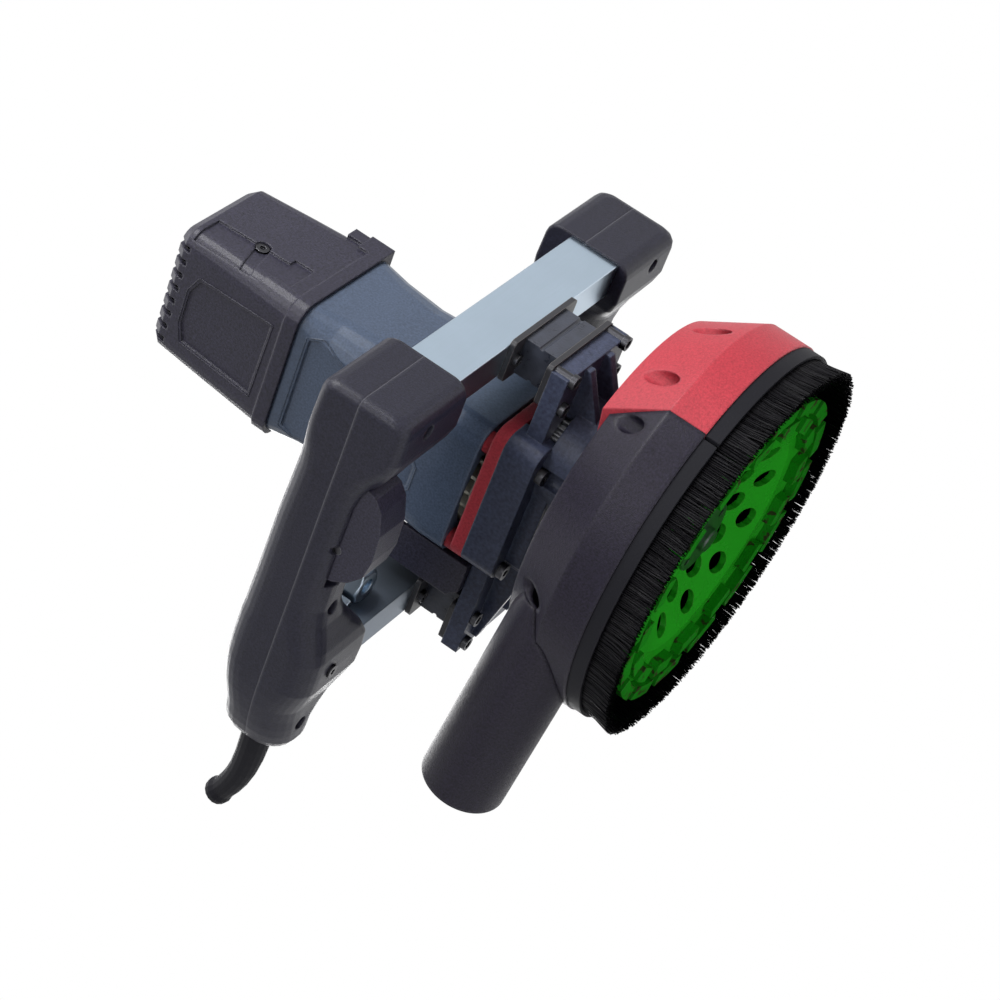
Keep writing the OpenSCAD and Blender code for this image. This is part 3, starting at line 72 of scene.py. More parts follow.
def axes_matrix(right, up, back, place):
    """A 4x4 matrix from three axes and a place."""
    turn = Matrix((right, up, back)).transposed()
    return Matrix.Translation(place) @ turn.to_4x4()


camera_data = bpy.data.cameras.new("camera")
camera_data.lens = LENS_MM
camera_data.sensor_width = SENSOR_MM
camera_data.clip_end = 20
camera = bpy.data.objects.new("camera", camera_data)
bpy.context.scene.collection.objects.link(camera)
camera.matrix_world = axes_matrix(CAMERA_RIGHT, CAMERA_UP, CAMERA_BACK, CAMERA_AT)
bpy.context.scene.camera = camera
bpy.context.scene.view_settings.view_transform = "Standard"
print("camera at", tuple(round(v, 3) for v in camera.location))

# %% [markdown]
# ## World, floor and lamps
# A product picture has a white surround that doesn't flood the object with light. The world shows white
# only to the camera and to mirror-like rays, and lights the object at a lower level. The floor is a
# one-sided sheet: from above it is a pale floor with a soft shadow, and from below, where this camera
# stands, it lets the view and the light of the low lamps through. It fades out away from the grinder,
# so that no horizon line shows.

# %% World
WORLD_LIGHT = 0.13
WORLD_SEEN = 1.0
WHITE = (1, 1, 1, 1)


def new_nodes(owner):
    """An empty node tree on a material or the world."""
    owner.use_nodes = True
    owner.node_tree.nodes.clear()
    return owner.node_tree


def calculate(t, operation, first, second):
    """A Math node in tree t. Each value is a socket or a number."""
    node = t.nodes.new("ShaderNodeMath")
    node.operation = operation
    for slot, value in enumerate((first, second)):
        if isinstance(value, (int, float)):
            node.inputs[slot].default_value = value
        else:
            t.links.new(value, node.inputs[slot])
    return node.outputs[0]


world = bpy.data.worlds.new("white surround")
bpy.context.scene.world = world
t = new_nodes(world)
rays = t.nodes.new("ShaderNodeLightPath")
seen = calculate(t, "MAXIMUM", rays.outputs["Is Camera Ray"], rays.outputs["Is Transmission Ray"])
level = t.nodes.new("ShaderNodeMapRange")
level.inputs["To Min"].default_value = WORLD_LIGHT
level.inputs["To Max"].default_value = WORLD_SEEN
t.links.new(calculate(t, "MAXIMUM", seen, rays.outputs["Is Glossy Ray"]), level.inputs["Value"])
ground = t.nodes.new("ShaderNodeBackground")
ground.inputs["Color"].default_value = WHITE
t.links.new(level.outputs[0], ground.inputs["Strength"])
out = t.nodes.new("ShaderNodeOutputWorld")
t.links.new(ground.outputs[0], out.inputs["Surface"])
print("world light level", WORLD_LIGHT)

# %% Floor
FLOOR_R = 4.0
FLOOR_SIDES = 64
FLOOR_Z = -0.0002
FLOOR_COLOUR = (0.86, 0.86, 0.86, 1)
FLOOR_ROUGH = (0.55, 0.7)
FADE_FROM, FADE_TO = 0.28, 0.85


def floor_material():
    """Pale from above, clear from below and to the low lamps."""
    made = bpy.data.materials.new("pale floor")
    t = new_nodes(made)
    side = t.nodes.new("ShaderNodeNewGeometry")
    path = t.nodes.new("ShaderNodeLightPath")
    clear = calculate(t, "MAXIMUM", side.outputs["Backfacing"], path.outputs["Is Shadow Ray"])
    away = t.nodes.new("ShaderNodeVectorMath")
    away.operation = "LENGTH"
    t.links.new(t.nodes.new("ShaderNodeTexCoord").outputs["Object"], away.inputs[0])
    fade = t.nodes.new("ShaderNodeMapRange")
    fade.interpolation_type = "SMOOTHSTEP"
    fade.inputs["From Min"].default_value = FADE_FROM
    fade.inputs["From Max"].default_value = FADE_TO
    t.links.new(away.outputs["Value"], fade.inputs["Value"])
    grain = t.nodes.new("ShaderNodeTexNoise")
    grain.inputs["Scale"].default_value = 60
    tone = t.nodes.new("ShaderNodeMapRange")
    tone.inputs["To Min"].default_value, tone.inputs["To Max"].default_value = FLOOR_ROUGH
    t.links.new(grain.outputs["Fac"], tone.inputs["Value"])
    pale = t.nodes.new("ShaderNodeBsdfPrincipled")
    pale.inputs["Base Color"].default_value = FLOOR_COLOUR
    t.links.new(tone.outputs[0], pale.inputs["Roughness"])
    through = t.nodes.new("ShaderNodeBsdfTransparent")
    mix = t.nodes.new("ShaderNodeMixShader")
    t.links.new(calculate(t, "MAXIMUM", clear, fade.outputs[0]), mix.inputs[0])
    t.links.new(pale.outputs[0], mix.inputs[1])
    t.links.new(through.outputs[0], mix.inputs[2])
    end = t.nodes.new("ShaderNodeOutputMaterial")
    t.links.new(mix.outputs[0], end.inputs["Surface"])
    return made


def mesh_piece(name, points, faces, material):
    """A mesh object from plain lists, linked into the scene."""
    mesh = bpy.data.meshes.new(name)
    mesh.from_pydata([tuple(p) for p in points], [], faces)
    mesh.update()
    piece = bpy.data.objects.new(name, mesh)
    bpy.context.scene.collection.objects.link(piece)
    mesh.materials.append(material)
    return piece


turns = [2 * math.pi * k / FLOOR_SIDES for k in range(FLOOR_SIDES)]
floor_ring = [(FLOOR_R * math.cos(a), FLOOR_R * math.sin(a), FLOOR_Z) for a in turns]
floor = mesh_piece("floor", floor_ring, [list(range(FLOOR_SIDES))], floor_material())
print("floor radius", FLOOR_R, "m")

# %% Lamps
TARGET = Vector((0.0, -0.03, 0.13))


def soft_lamp(name, toward, distance, size, power):
    """A square area lamp that faces the grinder from one side."""
    data = bpy.data.lights.new(name, "AREA")
    data.size = size
    data.energy = power
    lamp = bpy.data.objects.new(name, data)
    bpy.context.scene.collection.objects.link(lamp)
    way = Vector(toward).normalized()
    lamp.matrix_world = way.to_track_quat("Z", "Y").to_matrix().to_4x4()
    lamp.location = TARGET + way * distance


soft_lamp("key lamp", CAMERA_UP + CAMERA_BACK * 0.45 - CAMERA_RIGHT * 0.30, 1.25, 0.55, 22)
soft_lamp("front lamp", CAMERA_BACK + CAMERA_UP * 0.4 - CAMERA_RIGHT * 0.8, 1.5, 0.7, 14)
soft_lamp("side lamp", CAMERA_BACK * 0.5 - CAMERA_UP * 0.3 + CAMERA_RIGHT, 1.4, 0.8, 2.5)
soft_lamp("low lamp", (0.45, 0.15, -1.0), 1.2, 0.6, 2.8)
soft_lamp("top lamp", (0.1, -0.2, 1.0), 1.8, 1.6, 16)
soft_lamp("rear lamp", (-0.8, -1.0, 0.5), 1.9, 1.2, 22)
print("lamps:", len(bpy.data.lights))

# %% [markdown]
# ## Shared surface effects
# Moulded grain with painted glints, slow tone changes, edges with a painted highlight and some wear,
# and brushed lines come back on many pieces. Each is a node group with named sockets, built once and
# given its own values in each material. A group puts out only a colour, a mask, a value or a normal:
# the shader itself stays in the material.

# %% Group helper


def effect_group(name, inputs, outputs):
    """An empty shader node group with typed sockets. Returns the tree and its two end nodes."""
    made = bpy.data.node_groups.new(name, "ShaderNodeTree")
    for label, kind, value in inputs:
        socket = made.interface.new_socket(name=label, in_out="INPUT", socket_type=kind)
        if value is not None:
            socket.default_value = value
    for label, kind in outputs:
        made.interface.new_socket(name=label, in_out="OUTPUT", socket_type=kind)
    return made, made.nodes.new("NodeGroupInput"), made.nodes.new("NodeGroupOutput")


FLOAT = "NodeSocketFloat"
COLOUR = "NodeSocketColor"
VECTOR = "NodeSocketVector"


print("group helper ready")

# %% Moulded grain
grain_group, start, end = effect_group(
    "moulded grain",
    [("Vector", VECTOR, None), ("Cells per metre", FLOAT, 2600.0), ("Softness", FLOAT, 0.5)],
    [("Height", FLOAT), ("Glint speck", FLOAT)],
)
t = grain_group
cells = t.nodes.new("ShaderNodeTexVoronoi")
t.links.new(start.outputs["Vector"], cells.inputs["Vector"])
t.links.new(start.outputs["Cells per metre"], cells.inputs["Scale"])
cloud = t.nodes.new("ShaderNodeTexNoise")
t.links.new(start.outputs["Vector"], cloud.inputs["Vector"])
cloud_scale = calculate(t, "MULTIPLY", start.outputs["Cells per metre"], 0.45)
t.links.new(cloud_scale, cloud.inputs["Scale"])
cloud.inputs["Detail"].default_value = 3
soft = calculate(t, "MULTIPLY", cloud.outputs["Fac"], start.outputs["Softness"])
sharp = calculate(t, "MULTIPLY", cells.outputs["Distance"], 0.6)
t.links.new(calculate(t, "ADD", soft, sharp), end.inputs["Height"])
# The second output is a fine cloud that finishes use to brighten and darken the paint in spots: painted
# glints of the grain.
t.links.new(cloud.outputs["Fac"], end.inputs["Glint speck"])
print("effect made:", grain_group.name)

# %% Tone drift
drift_group, start, end = effect_group(
    "tone drift",
    [("Vector", VECTOR, None), ("Colour", COLOUR, (0.5, 0.5, 0.5, 1)),
     ("Patches per metre", FLOAT, 25.0), ("Amount", FLOAT, 0.15)],
    [("Colour", COLOUR), ("Shift", FLOAT)],
)
t = drift_group
patch = t.nodes.new("ShaderNodeTexNoise")
patch.inputs["Detail"].default_value = 5
patch.inputs["Roughness"].default_value = 0.6
t.links.new(start.outputs["Vector"], patch.inputs["Vector"])
t.links.new(start.outputs["Patches per metre"], patch.inputs["Scale"])
centred = calculate(t, "SUBTRACT", patch.outputs["Fac"], 0.5)
shift = calculate(t, "MULTIPLY", centred, start.outputs["Amount"])
gain = calculate(t, "ADD", calculate(t, "MULTIPLY", shift, 2.0), 1.0)
tinted = t.nodes.new("ShaderNodeVectorMath")
tinted.operation = "SCALE"
t.links.new(start.outputs["Colour"], tinted.inputs[0])
t.links.new(gain, tinted.inputs["Scale"])
t.links.new(tinted.outputs[0], end.inputs["Colour"])
t.links.new(shift, end.inputs["Shift"])
print("effect made:", drift_group.name)

# %% Painted edge highlights and wear
edge_group, start, end = effect_group(
    "edge highlight and wear",
    [("Vector", VECTOR, None), ("Radius", FLOAT, 0.0007), ("Amount", FLOAT, 0.5)],
    [("Mask", FLOAT), ("Normal", VECTOR)],
)
t = edge_group
round_edge = t.nodes.new("ShaderNodeBevel")
round_edge.samples = 4
t.links.new(start.outputs["Radius"], round_edge.inputs["Radius"])
shape = t.nodes.new("ShaderNodeNewGeometry")
same = t.nodes.new("ShaderNodeVectorMath")
same.operation = "DOT_PRODUCT"
t.links.new(round_edge.outputs[0], same.inputs[0])
t.links.new(shape.outputs["True Normal"], same.inputs[1])
bent = calculate(t, "SUBTRACT", 1.0, same.outputs["Value"])
broken = t.nodes.new("ShaderNodeTexNoise")
broken.inputs["Scale"].default_value = 240
broken.inputs["Detail"].default_value = 4
t.links.new(start.outputs["Vector"], broken.inputs["Vector"])
# The mask makes the paint paler along rounded edges. This is a painted highlight, and noise breaks it
# up so that it also reads as some wear.
edge_light_and_wear = calculate(t, "MULTIPLY", calculate(t, "MULTIPLY", bent, 6.0), broken.outputs["Fac"])
edge_light_and_wear_mask = calculate(t, "MULTIPLY", calculate(t, "MINIMUM", edge_light_and_wear, 1.0), start.outputs["Amount"])
t.links.new(edge_light_and_wear_mask, end.inputs["Mask"])
t.links.new(round_edge.outputs[0], end.inputs["Normal"])
print("effect made:", edge_group.name)

# %% Brushed lines
brush_group, start, end = effect_group(
    "brushed lines",
    [("Vector", VECTOR, None), ("Stretch", VECTOR, (40.0, 900.0, 900.0))],
    [("Height", FLOAT), ("Mask", FLOAT)],
)
t = brush_group
stretched = t.nodes.new("ShaderNodeVectorMath")
stretched.operation = "MULTIPLY"
t.links.new(start.outputs["Vector"], stretched.inputs[0])
t.links.new(start.outputs["Stretch"], stretched.inputs[1])
lines = t.nodes.new("ShaderNodeTexNoise")
lines.inputs["Scale"].default_value = 1.0
lines.inputs["Detail"].default_value = 6
t.links.new(stretched.outputs[0], lines.inputs["Vector"])
t.links.new(lines.outputs["Fac"], end.inputs["Height"])
t.links.new(lines.outputs["Fac"], end.inputs["Mask"])
print("effect made:", brush_group.name)

# %% [markdown]
# ## Finishes
# One helper lays out what all the finishes share: a base colour that drifts slowly, edges that are a
# little rounder and paler than the faces, where the paleness is a painted highlight with some wear,
# fine painted glints where a finish asks for them, and a fine bump. Each finish then states its own
# colour, gloss and grain in one line. A single flat colour would look like a drawing, not like a tool.

# %% Finish helper


def place_group(t, group, **values):
    """Puts an effect group in tree t. Values are sockets or constants."""
    node = t.nodes.new("ShaderNodeGroup")
    node.node_tree = group
    for label, value in values.items():
        socket = node.inputs[label.replace("_", " ")]
        if isinstance(value, bpy.types.NodeSocket):
            t.links.new(value, socket)
        else:
            socket.default_value = value
    return node


def blend_colour(t, factor, low, high):
    """A colour mix in tree t. Low and high are sockets or colours."""
    node = t.nodes.new("ShaderNodeMix")
    node.data_type = "RGBA"
    sockets = [s for s in node.inputs if s.type == "RGBA"]
    t.links.new(factor, node.inputs[0])
    for socket, value in zip(sockets, (low, high)):
        if isinstance(value, bpy.types.NodeSocket):
            t.links.new(value, socket)
        else:
            socket.default_value = (*value, 1)
    return [s for s in node.outputs if s.type == "RGBA"][0]


def finish(name, colour, rough, metal=0.0, coat=0.0, grain=2600.0, bump=0.12, drift=0.12,
           patches=25.0, edge=0.25, edge_colour=None, radius=0.0006, specular=0.5, glint_speck=0.0,
           extra=None):
    """A material of the house style. Extra is a function that may change the colour socket."""
    made = bpy.data.materials.new(name)
    t = new_nodes(made)
    place = t.nodes.new("ShaderNodeTexCoord").outputs["Object"]
    tone = place_group(t, drift_group, Vector=place, Colour=(*colour, 1),
                       Patches_per_metre=patches, Amount=drift)
    edges = place_group(t, edge_group, Vector=place, Radius=radius, Amount=edge)
    # The paler edge colour, whether given or made here, is a painted highlight along the rounded edges,
    # mixed with some wear.
    pale = edge_colour or tuple(min(1.0, c * 1.6 + 0.03) for c in colour)
    paint = blend_colour(t, edges.outputs["Mask"], tone.outputs["Colour"], pale)
    height = place_group(t, grain_group, Vector=place, Cells_per_metre=grain)
    # Fine spots brighten and darken the paint here: painted glints of the grain.
    if glint_speck:
        uneven = calculate(t, "SUBTRACT", height.outputs["Glint speck"], 0.5)
        dotted = t.nodes.new("ShaderNodeVectorMath")
        dotted.operation = "SCALE"
        t.links.new(paint, dotted.inputs[0])
        t.links.new(calculate(t, "ADD", calculate(t, "MULTIPLY", uneven, glint_speck), 1.0),
                    dotted.inputs["Scale"])
        paint = dotted.outputs[0]
    relief = t.nodes.new("ShaderNodeBump")
    relief.inputs["Strength"].default_value = bump
    relief.inputs["Distance"].default_value = 0.0004
    shader = t.nodes.new("ShaderNodeBsdfPrincipled")
    surface = height.outputs["Height"]
    if extra:
        paint, surface = extra(t, place, paint, surface)
    t.links.new(surface, relief.inputs["Height"])
    t.links.new(edges.outputs["Normal"], relief.inputs["Normal"])
    t.links.new(paint, shader.inputs["Base Color"])
    t.links.new(relief.outputs[0], shader.inputs["Normal"])
    t.links.new(calculate(t, "ADD", calculate(t, "MULTIPLY", tone.outputs["Shift"], 0.8), rough),
                shader.inputs["Roughness"])
    shader.inputs["Metallic"].default_value = metal
    shader.inputs["Coat Weight"].default_value = coat
    shader.inputs["Coat Roughness"].default_value = 0.25
    shader.inputs["Specular IOR Level"].default_value = specular
    end = t.nodes.new("ShaderNodeOutputMaterial")
    t.links.new(shader.outputs[0], end.inputs["Surface"])
    return made


print("finish helper ready")

# %% Details that a finish can add
SEAM_Z = 0.162
SEAM_HALF_W = 0.00022
SHEET_WAVES = 9000.0
WIRE_WAVES = 7000.0


def sum_of_axes(t, place, *axes):
    """The sum of the named axes of a place."""
    parts = t.nodes.new("ShaderNodeSeparateXYZ")
    t.links.new(place, parts.inputs[0])
    total = parts.outputs[axes[0]]
    for axis in axes[1:]:
        total = calculate(t, "ADD", total, parts.outputs[axis])
    return total


def seam_line(t, place, paint, surface):
    """A fine ridge where the two halves of a handle meet, with a painted highlight along it."""
    off = calculate(t, "SUBTRACT", sum_of_axes(t, place, "Z"), SEAM_Z)
    near = calculate(t, "LESS_THAN", calculate(t, "ABSOLUTE", off, 0.0), SEAM_HALF_W)
    # The paler colour on the ridge is a painted highlight.
    ridge = blend_colour(t, near, paint, (0.055, 0.055, 0.068))
    return ridge, calculate(t, "ADD", surface, calculate(t, "MULTIPLY", near, 2.0))


def along(stretch, pale, amount):
    """Brushed lines with the long way given by the smallest stretch."""

    def add(t, place, paint, surface):
        lines = place_group(t, brush_group, Vector=place, Stretch=stretch)
        part = calculate(t, "MULTIPLY", lines.outputs["Mask"], amount)
        return blend_colour(t, part, paint, pale), calculate(
            t, "ADD", surface, calculate(t, "MULTIPLY", lines.outputs["Height"], 0.8))

    return add


def worn_rows(t, place, paint, surface):
    """Paint that has come off in patches, with the metal bond and grit below."""
    patch = t.nodes.new("ShaderNodeTexNoise")
    patch.inputs["Scale"].default_value = 170
    patch.inputs["Detail"].default_value = 6
    t.links.new(place, patch.inputs["Vector"])
    gone = calculate(t, "GREATER_THAN", patch.outputs["Fac"], 0.60)
    grit = t.nodes.new("ShaderNodeTexVoronoi")
    grit.inputs["Scale"].default_value = 1500
    t.links.new(place, grit.inputs["Vector"])
    bond = blend_colour(t, grit.outputs["Distance"], (0.035, 0.035, 0.015), (0.10, 0.085, 0.04))
    return blend_colour(t, gone, paint, bond), calculate(
        t, "ADD", surface, calculate(t, "MULTIPLY", grit.outputs["Distance"], 1.5))


def stacked_sheets(t, place, paint, surface):
    """The thin sheets of a motor core, as rings up its height."""
    rise = calculate(t, "MULTIPLY", sum_of_axes(t, place, "Z"), SHEET_WAVES)
    wave = calculate(t, "SINE", rise, 0.0)
    line = calculate(t, "GREATER_THAN", wave, 0.6)
    return blend_colour(t, line, paint, (0.05, 0.05, 0.05)), calculate(
        t, "ADD", surface, calculate(t, "MULTIPLY", wave, 0.6))


def wound_wire(t, place, paint, surface):
    """Round wires side by side, with painted shade in the grooves between them."""
    across = calculate(t, "MULTIPLY", sum_of_axes(t, place, "X", "Y"), WIRE_WAVES)
    wave = calculate(t, "SINE", across, 0.0)
    # The darker copper in the grooves is painted shade.
    groove_shade = calculate(t, "LESS_THAN", wave, -0.55)
    return blend_colour(t, groove_shade, paint, (0.12, 0.035, 0.012)), calculate(
        t, "ADD", surface, wave)


print("details ready")

# %% Finishes
BLACK = (0.0140, 0.0130, 0.0230)
BRUSHED_X = (30.0, 1400.0, 1400.0)
BRUSHED_Z = (1400.0, 1400.0, 30.0)
# The edge colours here, given or made, are painted highlights along the edges mixed with some wear. The
# fine specks are painted glints of the grain.
finishes = {
    "green_paint": finish("glossy green paint", (0.034, 0.50, 0.026), 0.28, coat=0.5, grain=900,
                          bump=0.10, drift=0.16, edge=0.35, edge_colour=(0.42, 0.50, 0.16),
                          specular=0.3),
    "diamond_segment": finish("worn diamond segment", (0.020, 0.36, 0.018), 0.42, grain=3000,
                              bump=0.5, drift=0.3, patches=90, edge=0.5, specular=0.3,
                              edge_colour=(0.20, 0.17, 0.09), extra=worn_rows),
    "steel": finish("machined steel", (0.36, 0.37, 0.39), 0.32, metal=1.0, grain=1500, bump=0.06,
                    extra=along(BRUSHED_Z, (0.22, 0.22, 0.24), 0.6)),
    "screw_steel": finish("dark screw", (0.045, 0.045, 0.05), 0.38, metal=1.0, grain=1800, bump=0.10,
                          drift=0.25, edge=0.6, edge_colour=(0.30, 0.30, 0.33), radius=0.0004),
    "hood_plastic": finish("textured black hood", (0.0080, 0.0066, 0.0130), 0.42, grain=2000,
                           bump=0.32, edge=0.3, radius=0.0030, specular=0.14, glint_speck=2.4),
    "red_plastic": finish("textured red moulding", (0.255, 0.021, 0.031), 0.50, bump=0.30,
                          grain=2000, drift=0.12, edge=0.25, edge_colour=(0.55, 0.09, 0.12),
                          radius=0.0018, specular=0.2, glint_speck=1.0),
    "bristle": finish("black nylon strand", (0.0024, 0.0022, 0.0034), 0.38, grain=4000, bump=0.05,
                      drift=0.5, patches=120, edge=0.0, specular=0.09),
    "casting_paint": finish("painted casting", (0.030, 0.036, 0.062), 0.34, grain=1100,
                            bump=0.34, drift=0.2, edge=0.4, edge_colour=(0.10, 0.12, 0.17),
                            radius=0.0014, specular=0.16, glint_speck=1.4),
    "motor_plastic": finish("blue-grey satin moulding", (0.038, 0.053, 0.085), 0.34, coat=0.08,
                            grain=2000, bump=0.12, drift=0.14, edge=0.4, radius=0.0020,
                            specular=0.26, glint_speck=1.2),
    "laminated_steel": finish("stacked sheets", (0.34, 0.34, 0.35), 0.45, metal=1.0,
                              extra=stacked_sheets),
    "copper": finish("enamelled wire", (0.50, 0.17, 0.06), 0.35, metal=1.0, coat=0.4,
                     extra=wound_wire),
    "fan_plastic": finish("pale moulded fan", (0.36, 0.36, 0.31), 0.5, bump=0.15),
    "brass": finish("stamped brass", (0.62, 0.42, 0.14), 0.35, metal=1.0, bump=0.06,
                    extra=along(BRUSHED_X, (0.5, 0.33, 0.1), 0.5)),
    "carbon": finish("pressed carbon", (0.012, 0.012, 0.014), 0.5, bump=0.3, grain=3500,
                     specular=0.25),
    "black_plastic": finish("textured black moulding", BLACK, 0.40, bump=0.34, grain=1900,
                            drift=0.14, edge=0.5, radius=0.0014, specular=0.22, glint_speck=2.4),
    "black_rubber": finish("moulded rubber", (0.0050, 0.0050, 0.0072), 0.60, bump=0.18, grain=1500,
                           drift=0.25, edge=0.3, radius=0.0007, specular=0.10),
    "zinc_steel": finish("bright zinc plate", (0.40, 0.48, 0.58), 0.30, metal=1.0, grain=900,
                         bump=0.05, drift=0.12, patches=18, edge=0.5,
                         edge_colour=(0.85, 0.9, 0.95), radius=0.0010,
                         extra=along(BRUSHED_X, (0.34, 0.43, 0.48), 0.55)),
    "white_plastic": finish("natural nylon", (0.66, 0.64, 0.56), 0.4, bump=0.08),
}
handle_finish = finish("textured black handle", (0.0098, 0.0096, 0.0170), 0.36, bump=0.30,
                       grain=2100, drift=0.12, edge=0.4, radius=0.0024, specular=0.18, glint_speck=2.0,
                       extra=seam_line)
damper_finish = finish("oiled damper rubber", (0.024, 0.027, 0.038), 0.34, grain=700, bump=0.25,
                       drift=0.6, patches=140, edge=0.5, radius=0.0008, specular=0.3)
# The rear bar gets a darker copy of the bright zinc plate. This is painted shade, with darker
# reflections, for a bar that sits in shadow.
zinc_painted_shade_finish = finish("zinc plate with painted shade", (0.150, 0.178, 0.220), 0.42, metal=1.0, grain=900,
                         bump=0.06, drift=0.16, patches=18, edge=0.5, edge_colour=(0.5, 0.55, 0.62),
                         radius=0.0010, extra=along(BRUSHED_X, (0.12, 0.15, 0.18), 0.55))
plate_finish = finish("black oxide plate", (0.014, 0.014, 0.017), 0.38, grain=1500, bump=0.12,
                      drift=0.4, edge=0.8, edge_colour=(0.16, 0.15, 0.14), specular=0.3)
own_finish = {"front_damper": damper_finish, "rear_damper": damper_finish,
              "damper_plates": plate_finish, "rear_bar": zinc_painted_shade_finish,
              "trigger_pin": finishes["screw_steel"]}
for side in ("switch", "plain"):
    for half in ("top", "bottom"):
        own_finish[f"{side}_handle_{half}"] = handle_finish
print("finishes:", len(finishes) + 4)

# %% Finish every CAD piece
node_slot = {s["node"]: s["material_slot"] for s in frame["record"]["subparts"]}
for node, shown in frame["nodes"].items():
    shown.data.materials.clear()
    shown.data.materials.append(own_finish.get(node, finishes[node_slot[node]]))
print("pieces finished:", len(node_slot))

# %% [markdown]
# ## The brush rim
# The real rim holds thousands of nylon strands in tufts, and each tuft leans its own way. Hair systems
# could grow them, but a hair isn't a mesh and wouldn't survive an export. Each strand is therefore a
# slim three-sided stick with a knee, and all the sticks of an arc are one mesh. Neighbours share part
# of their lean, which gives the tufts, and every draw is seeded.

# %% Strand maker
BAND_Z = 0.016
ROOT_LIFT = 0.001
ROWS_R = [0.1004, 0.1015, 0.1026, 0.1037, 0.1048, 0.1056]
TIP_LIMIT_R = 0.1085
STRAND_W = 0.00042
STRAND_PITCH = 0.00105
PLACE_JITTER = 0.25
OUT_SPLAY = 0.0021
TUFT_PITCH = 0.0042
TUFT_LEAN_SIDE, TUFT_LEAN_OUT = 0.0007, 0.0004
STRAND_LEAN_SIDE, STRAND_LEAN_OUT = 0.0004, 0.00035
TIP_UNEVEN = 0.0005
KNEE_AT = 0.45
BEND_POWER = 1.6
LEVEL_WIDTHS = [1.0, 1.0, 0.75]


def strand_arc(name, from_deg, to_deg, seed):
    """All the strands of an arc of the rim, as one mesh."""
    rng = np.random.default_rng(seed)
    roots, tips, knees = [], [], []
    for row, r in enumerate(ROWS_R):
        length = math.radians(to_deg - from_deg) * r
        count = int(length / STRAND_PITCH)
        step = (to_deg - from_deg) / count
        tuft_count = int(length / TUFT_PITCH) + 2
        tuft_side = rng.normal(0, TUFT_LEAN_SIDE, tuft_count)
        tuft_out = rng.normal(0, TUFT_LEAN_OUT, tuft_count)
        for i in range(count):
            a = math.radians(from_deg + (i + 0.5 * (row % 2)) * step)
            a += rng.uniform(-PLACE_JITTER, PLACE_JITTER) * STRAND_PITCH / r
            k = int(i * STRAND_PITCH / TUFT_PITCH)
            share = row / (len(ROWS_R) - 1)
            out = OUT_SPLAY * (0.25 + 0.75 * share) + tuft_out[k] + rng.normal(0, STRAND_LEAN_OUT)
            out = min(out, TIP_LIMIT_R - r)
            side = tuft_side[k] + rng.normal(0, STRAND_LEAN_SIDE)
            low = abs(rng.normal(0, TIP_UNEVEN))
            ca, sa = math.cos(a), math.sin(a)
            roots.append((r * ca, r * sa, BAND_Z + ROOT_LIFT))
            for share_down, store in ((KNEE_AT, knees), (1.0, tips)):
                o, s = out * share_down ** BEND_POWER, side * share_down ** BEND_POWER
                z = BAND_Z + ROOT_LIFT - (BAND_Z + ROOT_LIFT - low) * share_down
                store.append(((r + o) * ca - s * sa, (r + o) * sa + s * ca, z))
    levels = [np.array(roots), np.array(knees), np.array(tips)]
    count = len(roots)
    spin = rng.uniform(0, 2 * math.pi, count)
    points = np.zeros((count, 3, 3, 3))
    for lv, (at, w) in enumerate(zip(levels, LEVEL_WIDTHS)):
        for c in range(3):
            turn = spin + c * 2 * math.pi / 3
            points[:, lv, c, 0] = at[:, 0] + STRAND_W * w * np.cos(turn)
            points[:, lv, c, 1] = at[:, 1] + STRAND_W * w * np.sin(turn)
            points[:, lv, c, 2] = at[:, 2]
    one = [[2, 1, 0], [6, 7, 8]]
    for lv in range(2):
        for c in range(3):
            d = (c + 1) % 3
            one.append([lv * 3 + c, lv * 3 + d, lv * 3 + 3 + d, lv * 3 + 3 + c][::-1])
    faces = [[v + 9 * n for v in f] for n in range(count) for f in one]
    piece = mesh_piece(name, points.reshape(-1, 3).tolist(), faces, finishes["bristle"])
    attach(piece, "tool")
    return piece, count


print("strand maker ready")

# %% Brush arcs
NEAR_DEG, FAR_DEG = 58.74, 135.81
main_brush, main_count = strand_arc("main_brush", FAR_DEG + 0.45, NEAR_DEG + 359.55, 11)
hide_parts(*[f"main_bristles_{n}" for n in range(1, 8)])
segment_brush, segment_count = strand_arc("segment_brush", NEAR_DEG + 0.4, FAR_DEG - 0.4, 12)
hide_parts("segment_bristles_1", "segment_bristles_2")
print("strands:", main_count + segment_count)

# %% [markdown]
# ## Raised lines of the motor and its cover
# Thin raised lines frame the panels of the real cover and motor. They could be cut in the CAD, but they
# are only half a millimetre high. Here each line is a slim half-sunk tube. Its points are laid down by
# rays on the CAD surface, so that it sits on the piece from any side.

# %% Raised line maker
RIDGE_R = 0.00045
RIDGE_STEP = 0.002
RAY_START_X = 0.09
MOTOR_Y = -0.0325


def surface_rays(node):
    """A tree for shooting rays at a CAD node."""
    return BVHTree.FromObject(frame["nodes"][node], bpy.context.evaluated_depsgraph_get())


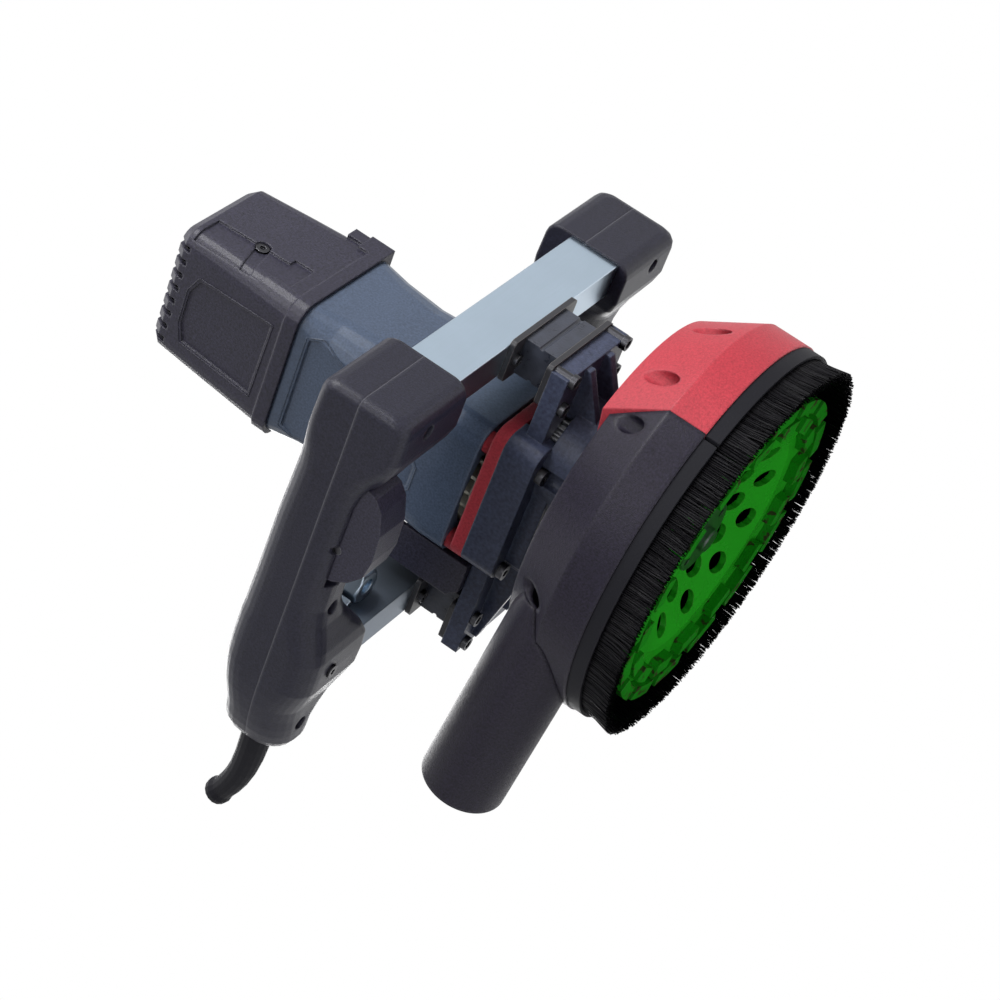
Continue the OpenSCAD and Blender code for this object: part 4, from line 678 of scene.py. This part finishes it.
def ridge_line(name, node, corners, side):
    """A closed slim tube along corners, laid on a CAD node by rays along X from one side."""
    rays = surface_rays(node)
    track = []
    for a, b in zip(corners, corners[1:] + corners[:1]):
        a, b = Vector(a), Vector(b)
        parts = max(1, int((b - a).length / RIDGE_STEP))
        track += [a.lerp(b, k / parts) for k in range(parts)]
    laid = []
    for point in track:
        hit = rays.ray_cast(Vector((side * RAY_START_X, point.y, point.z)), Vector((-side, 0, 0)))[0]
        if hit is not None:
            laid.append(hit)
    curve = bpy.data.curves.new(name, "CURVE")
    curve.dimensions = "3D"
    curve.bevel_depth = RIDGE_R
    curve.bevel_resolution = 1
    line = curve.splines.new("POLY")
    line.points.add(len(laid) - 1)
    for slot, point in zip(line.points, laid):
        slot.co = (*point, 1)
    line.use_cyclic_u = True
    draft = bpy.data.objects.new(name + "_draft", curve)
    bpy.context.scene.collection.objects.link(draft)
    mesh = bpy.data.meshes.new_from_object(draft.evaluated_get(bpy.context.evaluated_depsgraph_get()))
    bpy.data.objects.remove(draft)
    piece = bpy.data.objects.new(name, mesh)
    bpy.context.scene.collection.objects.link(piece)
    mesh.materials.clear()
    mesh.materials.append(frame["nodes"][node].data.materials[0])
    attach(piece, "tool")
    return len(laid)


print("ridge maker ready")

# %% Lines on the cover and the motor
COVER_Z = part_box("end_cover")[0][2]
cover_frame = [(0.0245, 0.0135), (-0.0245, 0.0145), (-0.0245, 0.0655), (-0.0138, 0.0695),
               (0.0085, 0.0695), (0.0196, 0.0642)]
motor_frame = [(0.0302, -0.0065), (-0.0296, -0.0065), (-0.0326, -0.0153), (-0.0212, -0.0835),
               (-0.0158, -0.0880), (-0.0012, -0.0880), (0.0042, -0.0835), (0.0334, -0.0155)]
laid = 0
for side, label in ((1, "right"), (-1, "left")):
    for node, outline in (("end_cover", cover_frame), ("motor_housing", motor_frame)):
        points = [(0.0, MOTOR_Y + y, COVER_Z + z) for y, z in outline]
        laid += ridge_line(f"{node}_line_{label}", node, points, side)
print("points laid:", laid)
